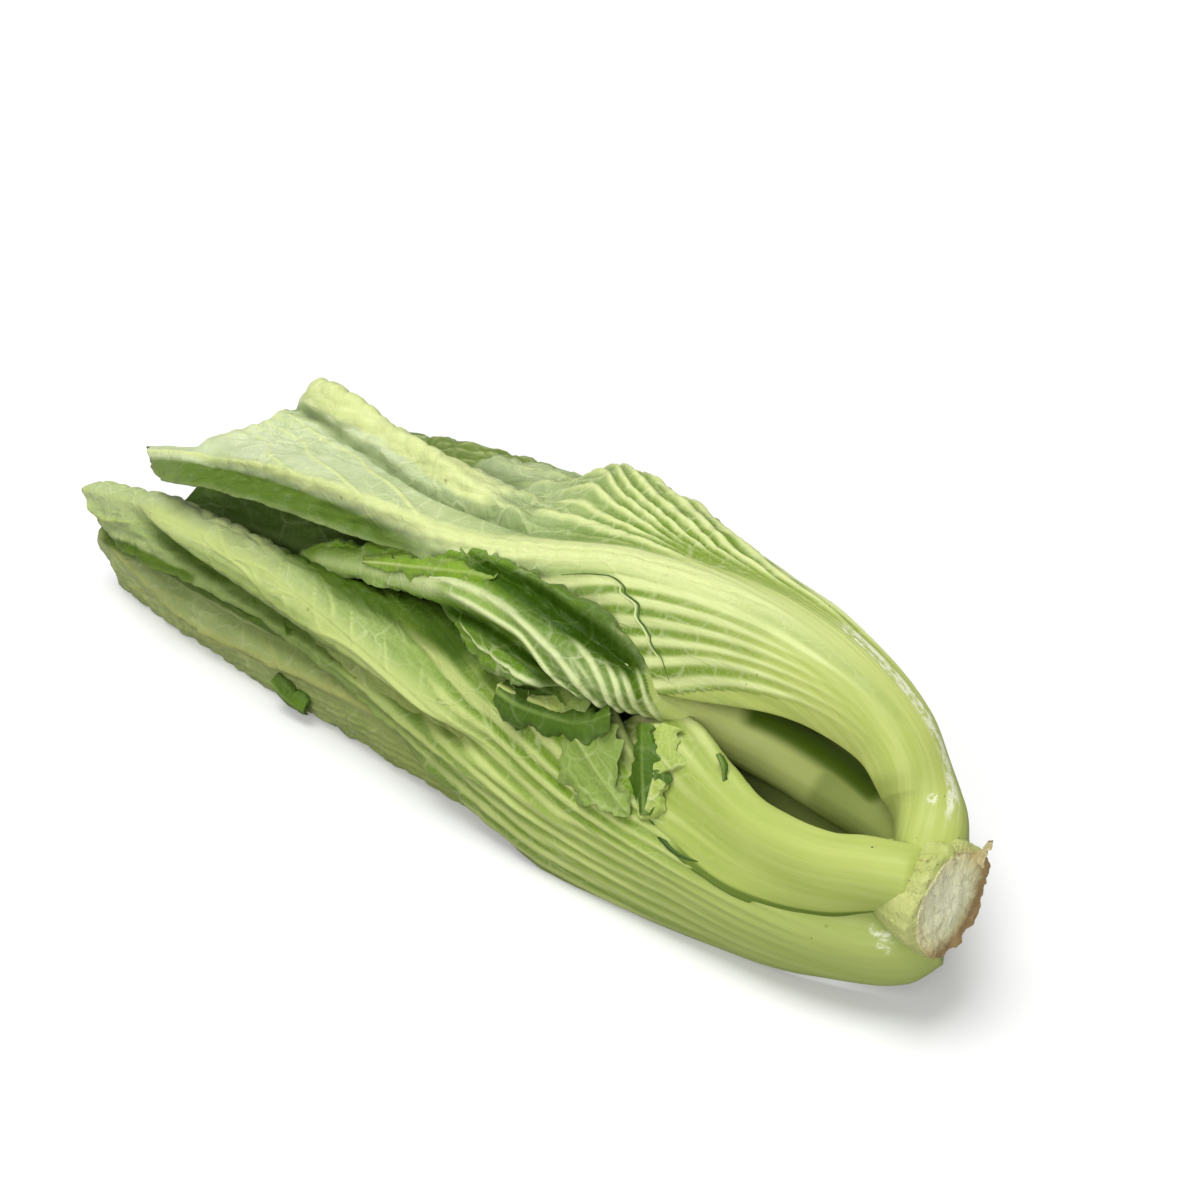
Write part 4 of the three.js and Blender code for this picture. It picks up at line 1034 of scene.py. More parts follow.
def leaf_mesh(name, leaf, sizes):
    """One closed mesh: outer face, inner face and the margin between them."""
    outer, inner, values = leaf_grids(leaf, sizes)
    rows, columns = outer.shape[:2]
    count = rows * columns
    points = np.concatenate([outer.reshape(-1, 3), inner.reshape(-1, 3)])
    points = (points - HEAD_CENTRE) * MM
    points[:, 2] = np.maximum(points[:, 2], FLOOR_CLEARANCE * MM)
    index = np.arange(count).reshape(rows, columns)
    a, b, c, d = index[:-1, :-1], index[1:, :-1], index[1:, 1:], index[:-1, 1:]
    front = np.stack([a, d, c, b], -1).reshape(-1, 4)
    back = np.stack([a, b, c, d], -1).reshape(-1, 4) + count
    rim = np.concatenate([index[:, 0], index[-1, 1:], index[-2::-1, -1], index[0, -2:0:-1]])
    ahead = np.roll(rim, -1)
    wall = np.stack([rim, ahead, ahead + count, rim + count], -1)
    faces = np.concatenate([front, back, wall])
    mesh = bpy.data.meshes.new(name)
    mesh.vertices.add(len(points))
    mesh.vertices.foreach_set("co", points.astype(np.float32).ravel())
    mesh.loops.add(faces.size)
    mesh.loops.foreach_set("vertex_index", faces.astype(np.int32).ravel())
    mesh.polygons.add(len(faces))
    mesh.polygons.foreach_set("loop_start", (np.arange(len(faces)) * 4).astype(np.int32))
    mesh.polygons.foreach_set("use_smooth", np.ones(len(faces), bool))
    mesh.update(calc_edges=True)
    for key in PAINTED:
        layer = mesh.attributes.new(key, "FLOAT", "POINT")
        layer.data.foreach_set("value", np.tile(values[key].ravel(), 2).astype(np.float32))
    inside = mesh.attributes.new("inside", "FLOAT", "POINT")
    inside.data.foreach_set("value", np.repeat([0.0, 1.0], count).astype(np.float32))
    uv = mesh.uv_layers.new(name="leaf")
    flat = np.stack([values["s"].ravel(), values["ell"].ravel()], 1) * MM * UV_PER_METRE
    flat = np.concatenate([flat, flat])
    uv.data.foreach_set("uv", flat[faces.ravel()].astype(np.float32).ravel())
    mesh.validate()
    return mesh


def tube_faces(rings, sides):
    """Four-sided faces between rings of points."""
    faces = []
    for start in range(0, (rings - 1) * sides, sides):
        for k in range(sides):
            j = (k + 1) % sides
            faces.append((start + k, start + j, start + sides + j, start + sides + k))
    return faces


def smooth_mesh(name, points, faces):
    mesh = bpy.data.meshes.new(name)
    mesh.from_pydata(points.tolist(), [], faces)
    mesh.polygons.foreach_set("use_smooth", np.ones(len(mesh.polygons), bool))
    return mesh


def add_object(name, data):
    piece = bpy.data.objects.new(name, data)
    bpy.context.scene.collection.objects.link(piece)
    return piece


# ---- materials ---------------------------------------------------------------
class Nodes:
    """Short ways to add and link shader nodes in one tree."""

    def __init__(self, tree):
        self.tree = tree

    def add(self, kind, inputs=None, **settings):
        node = self.tree.nodes.new(kind)
        for key, value in settings.items():
            setattr(node, key, value)
        for key, value in (inputs or {}).items():
            self.put(node.inputs[key], value)
        return node

    def put(self, socket, value):
        if isinstance(value, bpy.types.NodeSocket):
            self.tree.links.new(value, socket)
        else:
            socket.default_value = value

    def attribute(self, name):
        return self.add("ShaderNodeAttribute", attribute_name=name).outputs["Fac"]

    def maths(self, operation, a, b, clamp=False):
        node = self.add("ShaderNodeMath", {0: a, 1: b}, operation=operation, use_clamp=clamp)
        return node.outputs[0]

    def remap(self, value, low, high, to_low=0.0, to_high=1.0):
        inputs = {"Value": value, "From Min": low, "From Max": high, "To Min": to_low, "To Max": to_high}
        return self.add("ShaderNodeMapRange", inputs, interpolation_type="SMOOTHSTEP").outputs["Result"]

    def mix(self, share, a, b, blend="MIX"):
        node = self.add("ShaderNodeMix", data_type="RGBA", blend_type=blend)
        self.put(node.inputs[0], share)
        self.put(node.inputs[6], a)
        self.put(node.inputs[7], b)
        return node.outputs[2]

    def noise(self, vector, scale, detail=3.0, rough=0.55):
        inputs = {"Vector": vector, "Scale": scale, "Detail": detail, "Roughness": rough}
        return self.add("ShaderNodeTexNoise", inputs).outputs["Fac"]

    def borders(self, vector, scale):
        inputs = {"Vector": vector, "Scale": scale}
        kind = {"feature": "DISTANCE_TO_EDGE", "voronoi_dimensions": "2D"}
        return self.add("ShaderNodeTexVoronoi", inputs, **kind).outputs["Distance"]

    def stretched(self, vector, scale):
        return self.add("ShaderNodeVectorMath", {0: vector, 1: scale}, operation="MULTIPLY").outputs[0]


def new_material(name):
    """A material, the means to add nodes to it, and its shader."""
    material = bpy.data.materials.new(name)
    material.use_nodes = True
    return material, Nodes(material.node_tree), material.node_tree.nodes["Principled BSDF"]


def let_light_in(shader, radius):
    shader.inputs["Subsurface Weight"].default_value = LIGHT_SHARE
    shader.inputs["Subsurface Radius"].default_value = radius
    shader.inputs["Subsurface Scale"].default_value = LIGHT_DEPTH


def group_socket(tree, name, kind, direction, default=None):
    socket = tree.interface.new_socket(name=name, in_out=direction, socket_type=kind)
    if default is not None:
        socket.default_value = default
    return socket


def vein_net(n, uv, place, green, strength):
    """Mask of the net of fine veins, clearer in some patches of the blade than in others."""
    warp = n.add("ShaderNodeTexNoise", {"Vector": uv, "Scale": 9.0, "Detail": 2.0}, noise_dimensions="2D")
    offset = n.stretched(warp.outputs["Color"], (0.08, 0.08, 0.0))
    warped = n.add("ShaderNodeVectorMath", {0: offset, 1: uv}, operation="ADD").outputs[0]
    coarse = n.remap(n.borders(n.stretched(warped, (1.0, 0.7, 1.0)), 10.0), 0.0, 0.09, 1.0, 0.0)
    fine = n.remap(n.borders(warped, 34.0), 0.0, 0.16, 1.0, 0.0)
    net = n.maths("ADD", n.maths("MULTIPLY", coarse, 0.8), n.maths("MULTIPLY", fine, 0.35), clamp=True)
    patch = n.remap(n.noise(place, 40.0, 2.0), 0.35, 0.6, 0.25, 1.0)
    return n.maths("MULTIPLY", n.maths("MULTIPLY", net, strength), n.maths("MULTIPLY", green, patch))


def petiole_colour(n, uv, place, striae, given):
    """Colour of the petiole, with fine pale lines and greener streaks along it."""
    petiole = n.mix(n.remap(striae, 0.35, 0.65, 0.0, 0.18), given["Petiole"], given["Rib"])
    cloud = n.remap(n.noise(place, 16.0, 2.0), 0.42, 0.62)
    streak = n.remap(n.noise(n.stretched(uv, (15.0, 0.7, 1.0)), 1.0, 2.0, 0.5), 0.46, 0.64)
    flush = n.maths("ADD", n.maths("MULTIPLY", cloud, 0.25), n.maths("MULTIPLY", streak, 0.3))
    return n.mix(flush, petiole, n.mix(0.5, petiole, given["Blade"]))


def blemished(n, uv, place, scuff, amount, colour):
    """Adds small dark flecks and pale rubbed streaks, and paints pale streaks along the scuff marks: rubbed
    skin with a painted highlight along an edge.
    """
    cells = n.add("ShaderNodeTexVoronoi", {"Vector": place, "Scale": 110.0}, voronoi_dimensions="3D")
    rare = n.remap(n.noise(place, 30.0, 2.0), 0.60, 0.66)
    fleck = n.maths("MULTIPLY", n.remap(cells.outputs["Distance"], 0.04, 0.12, 1.0, 0.0), rare)
    colour = n.mix(n.maths("MULTIPLY", fleck, amount), colour, FLECK)
    rubbed = n.remap(n.noise(n.stretched(uv, (9.0, 1.6, 1.0)), 6.0, 6.0, 0.75), 0.68, 0.74)
    rubbed = n.maths("MULTIPLY", n.maths("MULTIPLY", rubbed, amount), 0.5)
    broken = n.remap(n.noise(n.stretched(uv, (9.0, 4.0, 1.0)), 5.0, 6.0, 0.75), 0.42, 0.55)
    scuff_and_highlight_marks = n.maths("MULTIPLY", n.maths("MULTIPLY", scuff, broken), 0.8)
    return n.mix(n.maths("MAXIMUM", rubbed, scuff_and_highlight_marks), colour, RUBBED_AND_HIGHLIGHT)


def leaf_skin_group():
    """Colour, height and roughness of leaf skin: petiole, ribs, net of veins, blade, margin and blemishes,
    with painted shade and painted highlight.
    """
    tree = bpy.data.node_groups.new("leaf_skin", "ShaderNodeTree")
    for name in ("Petiole", "Rib", "Blade", "Tip", "Inside"):
        group_socket(tree, name, "NodeSocketColor", "INPUT", (0.5, 0.5, 0.5, 1))
    for name, value in (("Net Strength", 0.6), ("Blemish", 0.5)):
        group_socket(tree, name, "NodeSocketFloat", "INPUT", value)
    group_socket(tree, "Color", "NodeSocketColor", "OUTPUT")
    group_socket(tree, "Height", "NodeSocketFloat", "OUTPUT")
    group_socket(tree, "Roughness", "NodeSocketFloat", "OUTPUT")
    n = Nodes(tree)
    given = n.add("NodeGroupInput").outputs
    result = n.add("NodeGroupOutput")
    uv = n.add("ShaderNodeUVMap", uv_map="leaf").outputs["UV"]
    place = n.add("ShaderNodeTexCoord").outputs["Object"]
    green, pale, reach, margin, dark, scuff = (n.attribute(name) for name in PAINTED)
    net = vein_net(n, uv, place, green, given["Net Strength"])
    mottle = n.remap(n.noise(place, 55.0, 5.0, 0.6), 0.35, 0.65)
    striae = n.noise(n.stretched(uv, (50.0, 1.6, 1.0)), 1.0, 4.0, 0.6)

    # outer face
    blade = n.mix(n.remap(reach, 0.45, 0.9), given["Blade"], given["Tip"])
    blade = n.mix(n.maths("MULTIPLY", mottle, 0.45), blade, n.mix(1.0, blade, DEEPER, "MULTIPLY"))
    petiole = petiole_colour(n, uv, place, striae, given)
    ground = n.mix(green, petiole, blade)
    ribbed = n.mix(n.remap(striae, 0.35, 0.65, 0.0, 0.25), given["Rib"], petiole)
    colour = n.mix(n.maths("MULTIPLY", net, 0.75), ground, n.mix(0.3, given["Rib"], FINE_VEIN))
    strength = n.remap(pale, 0.1, 0.95)
    colour = n.mix(strength, colour, ribbed)
    # painted shade: where dark is set, the colour turns to a deep green as if in shadow
    shade = n.mix(0.5, given["Inside"], n.mix(1.0, colour, DEEP_SHADE, "MULTIPLY"))
    colour = n.mix(dark, colour, shade)

    # inner face and margin
    deeper = n.mix(1.0, given["Inside"], DEEPER_INSIDE, "MULTIPLY")
    under = n.mix(n.maths("MULTIPLY", mottle, 0.5), given["Inside"], deeper)
    under = n.mix(n.maths("MULTIPLY", net, 0.15), under, n.mix(0.5, given["Inside"], given["Rib"]))
    under = n.mix(n.maths("MULTIPLY", strength, 0.5), under, given["Petiole"])
    under = n.mix(green, petiole, under)
    colour = n.mix(n.attribute("inside"), colour, under)
    rim = n.maths("MULTIPLY", n.remap(margin, 0.3, 2.4, 1.0, 0.0), green)
    colour = n.mix(n.maths("MULTIPLY", rim, 0.5), colour, n.mix(0.25, given["Inside"], given["Rib"]))
    colour = blemished(n, uv, place, scuff, given["Blemish"], colour)

    # height and roughness
    crinkle = n.maths("MULTIPLY", n.noise(place, 160.0, 4.0, 0.6), green)
    height = n.maths("MULTIPLY", net, 0.35)
    for part, share in ((n.noise(place, 900.0, 3.0), 0.06), (crinkle, 0.8), (striae, 0.18)):
        height = n.maths("ADD", height, n.maths("MULTIPLY", part, share))
    n.put(result.inputs["Color"], colour)
    n.put(result.inputs["Height"], height)
    n.put(result.inputs["Roughness"], n.remap(n.noise(place, 120.0, 3.0), 0.3, 0.7, 0.36, 0.52))
    return tree


def leaf_material(name, colours):
    material, n, shader = new_material(name)
    skin = bpy.data.node_groups.get("leaf_skin") or leaf_skin_group()
    group = n.add("ShaderNodeGroup", node_tree=skin)
    for key, value in colours.items():
        group.inputs[key].default_value = (*value, 1) if isinstance(value, tuple) else value
    bump = n.add("ShaderNodeBump", {"Height": group.outputs["Height"], "Strength": 0.7, "Distance": 0.0018})
    n.put(shader.inputs["Base Color"], group.outputs["Color"])
    n.put(shader.inputs["Roughness"], group.outputs["Roughness"])
    n.put(shader.inputs["Normal"], bump.outputs["Normal"])
    shader.inputs["Specular IOR Level"].default_value = 0.18
    let_light_in(shader, LEAF_LIGHT)
    return material


def palette_for(name):
    """A leaf's own colours, or those of its kind."""
    kind = name.rsplit("_", 1)[0]
    return PALETTES.get(name) or PALETTES.get(kind) or PALETTES["leaf_back"]


def build_leaf(name, sizes):
    leaf = LEAVES[name]
    piece = add_object(name + "_skin", leaf_mesh(name, leaf, sizes))
    piece.data.materials.append(leaf_material(name, palette_for(name)))
    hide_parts(name)
    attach(piece, "root")


def build_scrap(name, seed, sizes):
    palette, spine, outward, width, curl = SCRAPS[name]
    piece = add_object(name, leaf_mesh(name, scrap_table(spine, outward, width, curl, seed), sizes))
    piece.data.materials.append(leaf_material(name, PALETTES[palette]))
    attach(piece, "root")


# ---- fine lines --------------------------------------------------------------
def points_on(leaf, places, sizes):
    """Points of a leaf's outer face at (u, s) places."""
    outer, _, values = leaf_grids(leaf, sizes)
    rows = np.interp(places[:, 0], values["reach"][:, 0], np.arange(len(outer)))
    low = np.minimum(rows.astype(int), len(outer) - 2)
    share = (rows - low)[:, None]
    found = []
    for chosen in (low, low + 1):
        found.append(np.array([
            [np.interp(s, values["s"][row], outer[row, :, axis]) for axis in range(3)]
            for row, s in zip(chosen, places[:, 1])
        ]))
    return found[0] * (1 - share) + found[1] * share


def unit(vectors):
    return vectors / np.linalg.norm(vectors, axis=1)[:, None]


def build_line(name, sizes):
    """A flat, closed ribbon that follows a leaf's surface."""
    owner, colour, half_width, path = LINES[name]
    share = np.linspace(0, 1, LINE_STEPS * len(path))
    places = along(path, share)
    places[:, 0] += LINE_WANDER * smooth_noise(places[:, 1] / WANDER_LENGTH, 0 * share, WANDER_SEED)
    centre, beside, ahead = (points_on(LEAVES[owner], places + step, sizes) for step in ((0, 0), BESIDE, AHEAD))
    forward = unit(np.gradient(centre, axis=0))
    normal = unit(np.cross(beside - centre, ahead - centre))
    widths = half_width * (1 - LINE_TAPER + LINE_TAPER * np.sin(np.pi * share))
    across = unit(np.cross(normal, forward)) * widths[:, None]
    ring = [centre + across, centre + LINE_RISE * normal, centre - across, centre - LINE_DEPTH * normal]
    points = (np.stack(ring, 1).reshape(-1, 3) - HEAD_CENTRE) * MM
    last = len(points) - 4
    faces = [(3, 2, 1, 0), *tube_faces(len(places), 4), (last, last + 1, last + 2, last + 3)]
    piece = add_object(name, smooth_mesh(name, points, faces))
    piece.data.materials.append(plain_material(name, colour))
    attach(piece, "root")


# ---- grains and fibres -------------------------------------------------------
# Where grains lie: an attribute and the range of it. Densities are for each square metre, lengths in metres.
SOIL = {
    "Density": 1500.0, "Thickness": 0.35 * MM, "Length": 0.2 * MM, "Least Size": 0.4, "Most Size": 1.3, "Lean": 0.1,
}
SOIL_ON_PETIOLE = SOIL | {"Attribute": "reach", "Low": 0.03, "High": 0.35}
SOIL_ON_STEM = SOIL | {"Attribute": "share", "Low": 0.28, "High": 0.6, "Density": 9000.0, "Seed": 5}
FIBRES = SOIL | {
    "Attribute": "share", "Low": 0.19, "High": 0.3, "Density": 90000.0, "Thickness": 0.3 * MM, "Length": 3.0 * MM,
    "Lean": 0.9, "Seed": 9,
}


def plain_material(name, colour):
    material, _, shader = new_material(name)
    shader.inputs["Base Color"].default_value = (*colour, 1)
    shader.inputs["Roughness"].default_value = 0.8
    return material


def scatter_group():
    """Small cones strewn over the part of a surface where an attribute lies between two values."""
    tree = bpy.data.node_groups.new("scatter", "GeometryNodeTree")
    group_socket(tree, "Surface", "NodeSocketGeometry", "INPUT")
    group_socket(tree, "Attribute", "NodeSocketString", "INPUT")
    for name in ("Low", "High", "Density", "Thickness", "Length", "Least Size", "Most Size", "Lean"):
        group_socket(tree, name, "NodeSocketFloat", "INPUT", 1.0)
    group_socket(tree, "Seed", "NodeSocketInt", "INPUT", 1)
    group_socket(tree, "Finish", "NodeSocketMaterial", "INPUT")
    group_socket(tree, "Geometry", "NodeSocketGeometry", "OUTPUT")
    n = Nodes(tree)
    given = n.add("NodeGroupInput").outputs
    named = n.add("GeometryNodeInputNamedAttribute", {"Name": given["Attribute"]}, data_type="FLOAT")
    value = named.outputs["Attribute"]
    above = n.maths("GREATER_THAN", value, given["Low"])
    chosen = n.maths("MULTIPLY", above, n.maths("LESS_THAN", value, given["High"]))
    spread = {"Mesh": given["Surface"], "Selection": chosen, "Density": given["Density"], "Seed": given["Seed"]}
    spots = n.add("GeometryNodeDistributePointsOnFaces", spread).outputs
    shape = {"Vertices": 5, "Radius Top": 0.0, "Radius Bottom": given["Thickness"], "Depth": given["Length"]}
    cone = n.add("GeometryNodeMeshCone", shape).outputs["Mesh"]
    lean = n.maths("MULTIPLY", given["Lean"], -1.0)
    least = n.add("ShaderNodeCombineXYZ", {0: lean, 1: lean}).outputs[0]
    most = n.add("ShaderNodeCombineXYZ", {0: given["Lean"], 1: given["Lean"], 2: FULL_TURN}).outputs[0]
    turn = n.add("FunctionNodeRandomValue", {"Seed": given["Seed"]}, data_type="FLOAT_VECTOR")
    n.put(turn.inputs[0], least)
    n.put(turn.inputs[1], most)
    turned = n.add("FunctionNodeRotateRotation", {0: spots["Rotation"], 1: turn.outputs[0]}, rotation_space="LOCAL")
    size = n.add("FunctionNodeRandomValue", {"Seed": given["Seed"]}, data_type="FLOAT")
    n.put(size.inputs[2], given["Least Size"])
    n.put(size.inputs[3], given["Most Size"])
    strewn = n.add("GeometryNodeInstanceOnPoints", {
        "Points": spots["Points"], "Instance": cone, "Rotation": turned.outputs[0], "Scale": size.outputs[1],
    }).outputs["Instances"]
    real = n.add("GeometryNodeRealizeInstances", {"Geometry": strewn}).outputs["Geometry"]
    finished = n.add("GeometryNodeSetMaterial", {"Geometry": real, "Material": given["Finish"]}).outputs["Geometry"]
    n.put(n.add("NodeGroupOutput").inputs["Geometry"], finished)
    return tree


def scatter(name, surface, settings):
    tree = bpy.data.node_groups.get("scatter") or scatter_group()
    holder = add_object(name + "_holder", surface.data)
    modifier = holder.modifiers.new("scatter", "NODES")
    modifier.node_group = tree
    for item in tree.interface.items_tree:
        if item.in_out == "INPUT" and item.name in settings:
            modifier[item.identifier] = settings[item.name]
    mesh = bpy.data.meshes.new_from_object(holder.evaluated_get(bpy.context.evaluated_depsgraph_get()))
    bpy.data.objects.remove(holder)
    piece = add_object(name, mesh)
    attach(piece, "root")


def built(name):
    """A piece that an earlier operator must have made."""
    piece = bpy.data.objects.get(name)
    if piece is None:
        raise RuntimeError(name + " has to be built first")
    return piece


def build_grains(colours):
    """Specks of soil on the petioles and stem, and dry fibres round the cut."""
    soil = {"Finish": plain_material("soil", colours.soil_colour)}
    dry = {"Finish": plain_material("dry_fibre", colours.fibre_colour)}
    for seed, name in enumerate(("leaf_top", "leaf_front", "leaf_bottom")):
        scatter(name + "_specks", built(name + "_skin"), SOIL_ON_PETIOLE | soil | {"Seed": seed})
    stem = built("stem_core_skin")
    scatter("stem_specks", stem, SOIL_ON_STEM | soil)
    scatter("stem_fibres", stem, FIBRES | dry)


# ---- stem --------------------------------------------------------------------
def stem_mesh(sizes):
    """The stem's bark and cut face: a lumpy plug from the cut, tapering in among the petioles."""
    rings, sides = STEM_GRID
    t = np.linspace(0, 1, rings)
    angle = np.linspace(0, 2 * np.pi, sides, endpoint=False)
    tt, aa = np.meshgrid(t, angle, indexing="ij")
    around = np.stack([LUMPS * np.cos(aa) + NOISE_AT[0], LUMPS * np.sin(aa) + NOISE_AT[1]])
    radius = along(STEM_RADII, t)[:, None] * sizes.stem_radius / MM
    depth = along(STEM_DEPTHS, t)[:, None] * STEM["length"]
    buttress = layered_noise(around[0], around[1] + tt, 5) * ease(tt, *BUTTRESS_FROM) * BUTTRESS
    chipped = layered_noise(around[0] * CHIPS, around[1] * CHIPS, 8, 5)
    rim = np.exp(-(((tt - RIM_AT) / RIM_SPAN) ** 2))
    face = 1 - ease(tt, *FACE_END)
    torn = layered_noise(tt * TEARS * np.cos(aa), tt * TEARS * np.sin(aa), 12, 4)
    strands = layered_noise(STRANDS * around[0], STRANDS * around[1] + 3 * tt, 14)
    strands = strands * ease(tt, *STRANDS_FROM) * (1 - ease(tt, *STRANDS_TO))
    radius = radius + (buttress + CHIP_OUT * chipped * rim + STRAND * strands) * ease(radius, 0, 5)
    y = radius * np.cos(aa)
    z = radius * np.sin(aa)
    dished = -DISH * face * (1 - (radius * MM / sizes.stem_radius) ** 2)
    x = STEM["cut"] - depth + TEAR * torn * face + dished + CHIP_BACK * chipped * rim
    x -= STEM["lean"] * (y - 0.5 * z) * (1 - ease(tt, *LEAN_TO))
    bevel = sizes.cut_bevel / MM * ease(BEVEL_UP * z - BEVEL_FRONT * y, *BEVEL_SPAN)
    x -= bevel * (1 - ease(tt, *BEVEL_TO))
    return np.stack([x, STEM["y"] + y, STEM["z"] + z], -1), tt


def build_stem(settings):
    points, tt = stem_mesh(settings)
    rings, sides = tt.shape
    rings -= 2  # the first and last are points, in the middle of each end
    verts = np.concatenate([points[1:-1].reshape(-1, 3), points[0].mean(0)[None], points[-1].mean(0)[None]])
    last = (rings - 1) * sides
    near, far = rings * sides, rings * sides + 1
    faces = tube_faces(rings, sides)
    for k in range(sides):
        j = (k + 1) % sides
        faces.append((near, j, k))
        faces.append((far, last + k, last + j))
    mesh = smooth_mesh("stem_core", (verts - HEAD_CENTRE) * MM, faces)
    share = np.concatenate([tt[1:-1].ravel(), [0.0, 1.0]])
    mesh.attributes.new("share", "FLOAT", "POINT").data.foreach_set("value", share.astype(np.float32))
    piece = add_object("stem_core_skin", mesh)
    piece.data.materials.append(stem_material(settings))
    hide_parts("stem_core")
    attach(piece, "root")


def cut_colour(n, share, settings):
    """Rings of colour over the cut, from pith to rind."""
    ramp = n.add("ShaderNodeValToRGB", {"Fac": share})
    stops = [(0.0, settings.pith_colour), *CUT_RINGS, (1.0, settings.rind_colour)]
    elements = ramp.color_ramp.elements
    while len(elements) < len(stops):
        elements.new(0.5)
    for element, (position, colour) in zip(elements, stops):
        element.position = position
        element.color = (*colour, 1)
    return ramp.outputs["Color"]


def stem_material(settings):
    """Yellow-green skin, and a cut face with pale pith, a browned ring and dry fibres."""
    material, n, shader = new_material("stem")
    place = n.add("ShaderNodeTexCoord").outputs["Object"]
    cut = (np.array([STEM["cut"], STEM["y"], STEM["z"]]) - HEAD_CENTRE) * MM
    from_cut = n.add("ShaderNodeVectorMath", {0: place, 1: tuple(cut)}, operation="SUBTRACT").outputs[0]
    axes = n.add("ShaderNodeSeparateXYZ", {0: from_cut}).outputs
    flat = n.add("ShaderNodeCombineXYZ", {1: axes[1], 2: axes[2]}).outputs[0]
    radius = n.add("ShaderNodeVectorMath", {0: flat}, operation="LENGTH").outputs["Value"]
    ripple = n.maths("SUBTRACT", n.noise(place, 160.0, 4.0), 0.5)
    bevelled = n.maths("SUBTRACT", n.maths("MULTIPLY", axes[2], BEVEL_UP), n.maths("MULTIPLY", axes[1], BEVEL_FRONT))
    share = n.maths("DIVIDE", radius, settings.stem_radius)
    share = n.maths("ADD", share, n.maths("MULTIPLY", ripple, 0.25))
    share = n.maths("SUBTRACT", share, n.maths("MULTIPLY", bevelled, BEVEL_BROWNING / MM))
    spots = n.remap(n.noise(place, 260.0, 4.0, 0.7), 0.52, 0.68)
    stained = n.maths("MULTIPLY", spots, n.remap(share, 0.2, 1.0, 0.08, 0.6))
    face = n.mix(stained, cut_colour(n, share, settings), STAIN)
    skin = n.mix(n.remap(n.noise(place, 60.0, 3.0), 0.3, 0.7), STEM_SKIN, STEM_SKIN_PALER)
    freckles = n.remap(n.noise(place, 420.0, 3.0), 0.62, 0.7)
    skin = n.mix(n.maths("MULTIPLY", freckles, 0.6), skin, STEM_FRECKLE)
    along_side = n.maths("ADD", n.attribute("share"), n.maths("MULTIPLY", ripple, 0.12))
    on_face = n.remap(along_side, 0.22, 0.26, 1.0, 0.0)
    dried = n.remap(along_side, 0.26, 0.36, 1.0, 0.0)
    dried = n.maths("MULTIPLY", dried, n.remap(bevelled, -4 * MM, 10 * MM, 0.65, 0.08))
    skin = n.mix(dried, skin, DRIED)
    height = n.maths("ADD", n.noise(place, 500.0, 5.0, 0.7), n.maths("MULTIPLY", spots, 0.5))
    bump = n.add("ShaderNodeBump", {"Height": height, "Strength": 0.7, "Distance": 0.0012})
    n.put(shader.inputs["Base Color"], n.mix(on_face, skin, face))
    n.put(shader.inputs["Roughness"], n.remap(on_face, 0.0, 1.0, 0.45, 0.8))
    n.put(shader.inputs["Normal"], bump.outputs["Normal"])
    let_light_in(shader, STEM_LIGHT)
    return material


# ---- stage -------------------------------------------------------------------
LENS, SENSOR = 85, 36
CAMERA_TURN, CAMERA_RISE = 43, 33  # degrees
CAMERA_AIM = Vector((-0.040, 0.065, 0.0))  # in metres, before the head is centred
FLOOR_HALF = 6.0  # metres
FLOOR_THROWN, FLOOR_SEEN, FLOOR_GLOW = 0.4, 0.8, 0.16
SKY = 0.27
LIGHTS = [  # name, strength, angle in degrees across the source, direction towards it
    ("key", 2.2, 38, (-0.14, -0.14, 1.0)),
    ("fill", 1.5, 50, (0.42, -0.78, 0.5)),
]


def build_camera(distance):
    turn, rise = math.radians(CAMERA_TURN), math.radians(CAMERA_RISE)
    target = CAMERA_AIM - Vector(HEAD_CENTRE * MM)
    back = Vector((math.sin(turn) * math.cos(rise), -math.cos(turn) * math.cos(rise), math.sin(rise)))
    data = bpy.data.cameras.new("camera")
    data.lens = LENS
    data.sensor_width = SENSOR
    camera = add_object("camera", data)
    camera.location = target + back * distance
    camera.rotation_euler = (-back).to_track_quat("-Z", "Y").to_euler()
    bpy.context.scene.camera = camera


def build_floor():
    """A white sweep that throws less light back at the head than the camera sees."""
    corners = np.array([(-1, -1, 0), (1, -1, 0), (1, 1, 0), (-1, 1, 0)]) * FLOOR_HALF
    mesh = bpy.data.meshes.new("floor")
    mesh.from_pydata(corners.tolist(), [], [(0, 1, 2, 3)])
    floor = add_object("floor", mesh)
    material, n, shader = new_material("floor")
    seen = n.add("ShaderNodeLightPath").outputs["Is Camera Ray"]
    n.put(shader.inputs["Base Color"], n.mix(seen, (*[FLOOR_THROWN] * 3, 1), (*[FLOOR_SEEN] * 3, 1)))
    n.put(shader.inputs["Emission Strength"], n.maths("MULTIPLY", seen, FLOOR_GLOW))
    shader.inputs["Roughness"].default_value = 0.9
    shader.inputs["Specular IOR Level"].default_value = 0.0
    shader.inputs["Emission Color"].default_value = (1, 1, 1, 1)
    mesh.materials.append(material)


def build_lights(brightness):
    world = bpy.data.worlds.new("studio")
    world.use_nodes = True
    background = world.node_tree.nodes["Background"]
    background.inputs["Color"].default_value = (1, 1, 1, 1)
    background.inputs["Strength"].default_value = SKY * brightness
    bpy.context.scene.world = world
    for name, energy, spread, toward in LIGHTS:
        data = bpy.data.lights.new(name, "SUN")
        data.energy = energy * brightness
        data.angle = math.radians(spread)
        add_object(name, data).rotation_euler = Vector(toward).to_track_quat("Z", "Y").to_euler()
    bpy.context.scene.view_settings.view_transform = "Standard"


# ---- operators ---------------------------------------------------------------
def size_setting(name, description, default, **limits):
    return bpy.props.FloatProperty(
        name=name, description=description, default=default, unit="LENGTH", precision=4, min=0.0001, **limits
    )


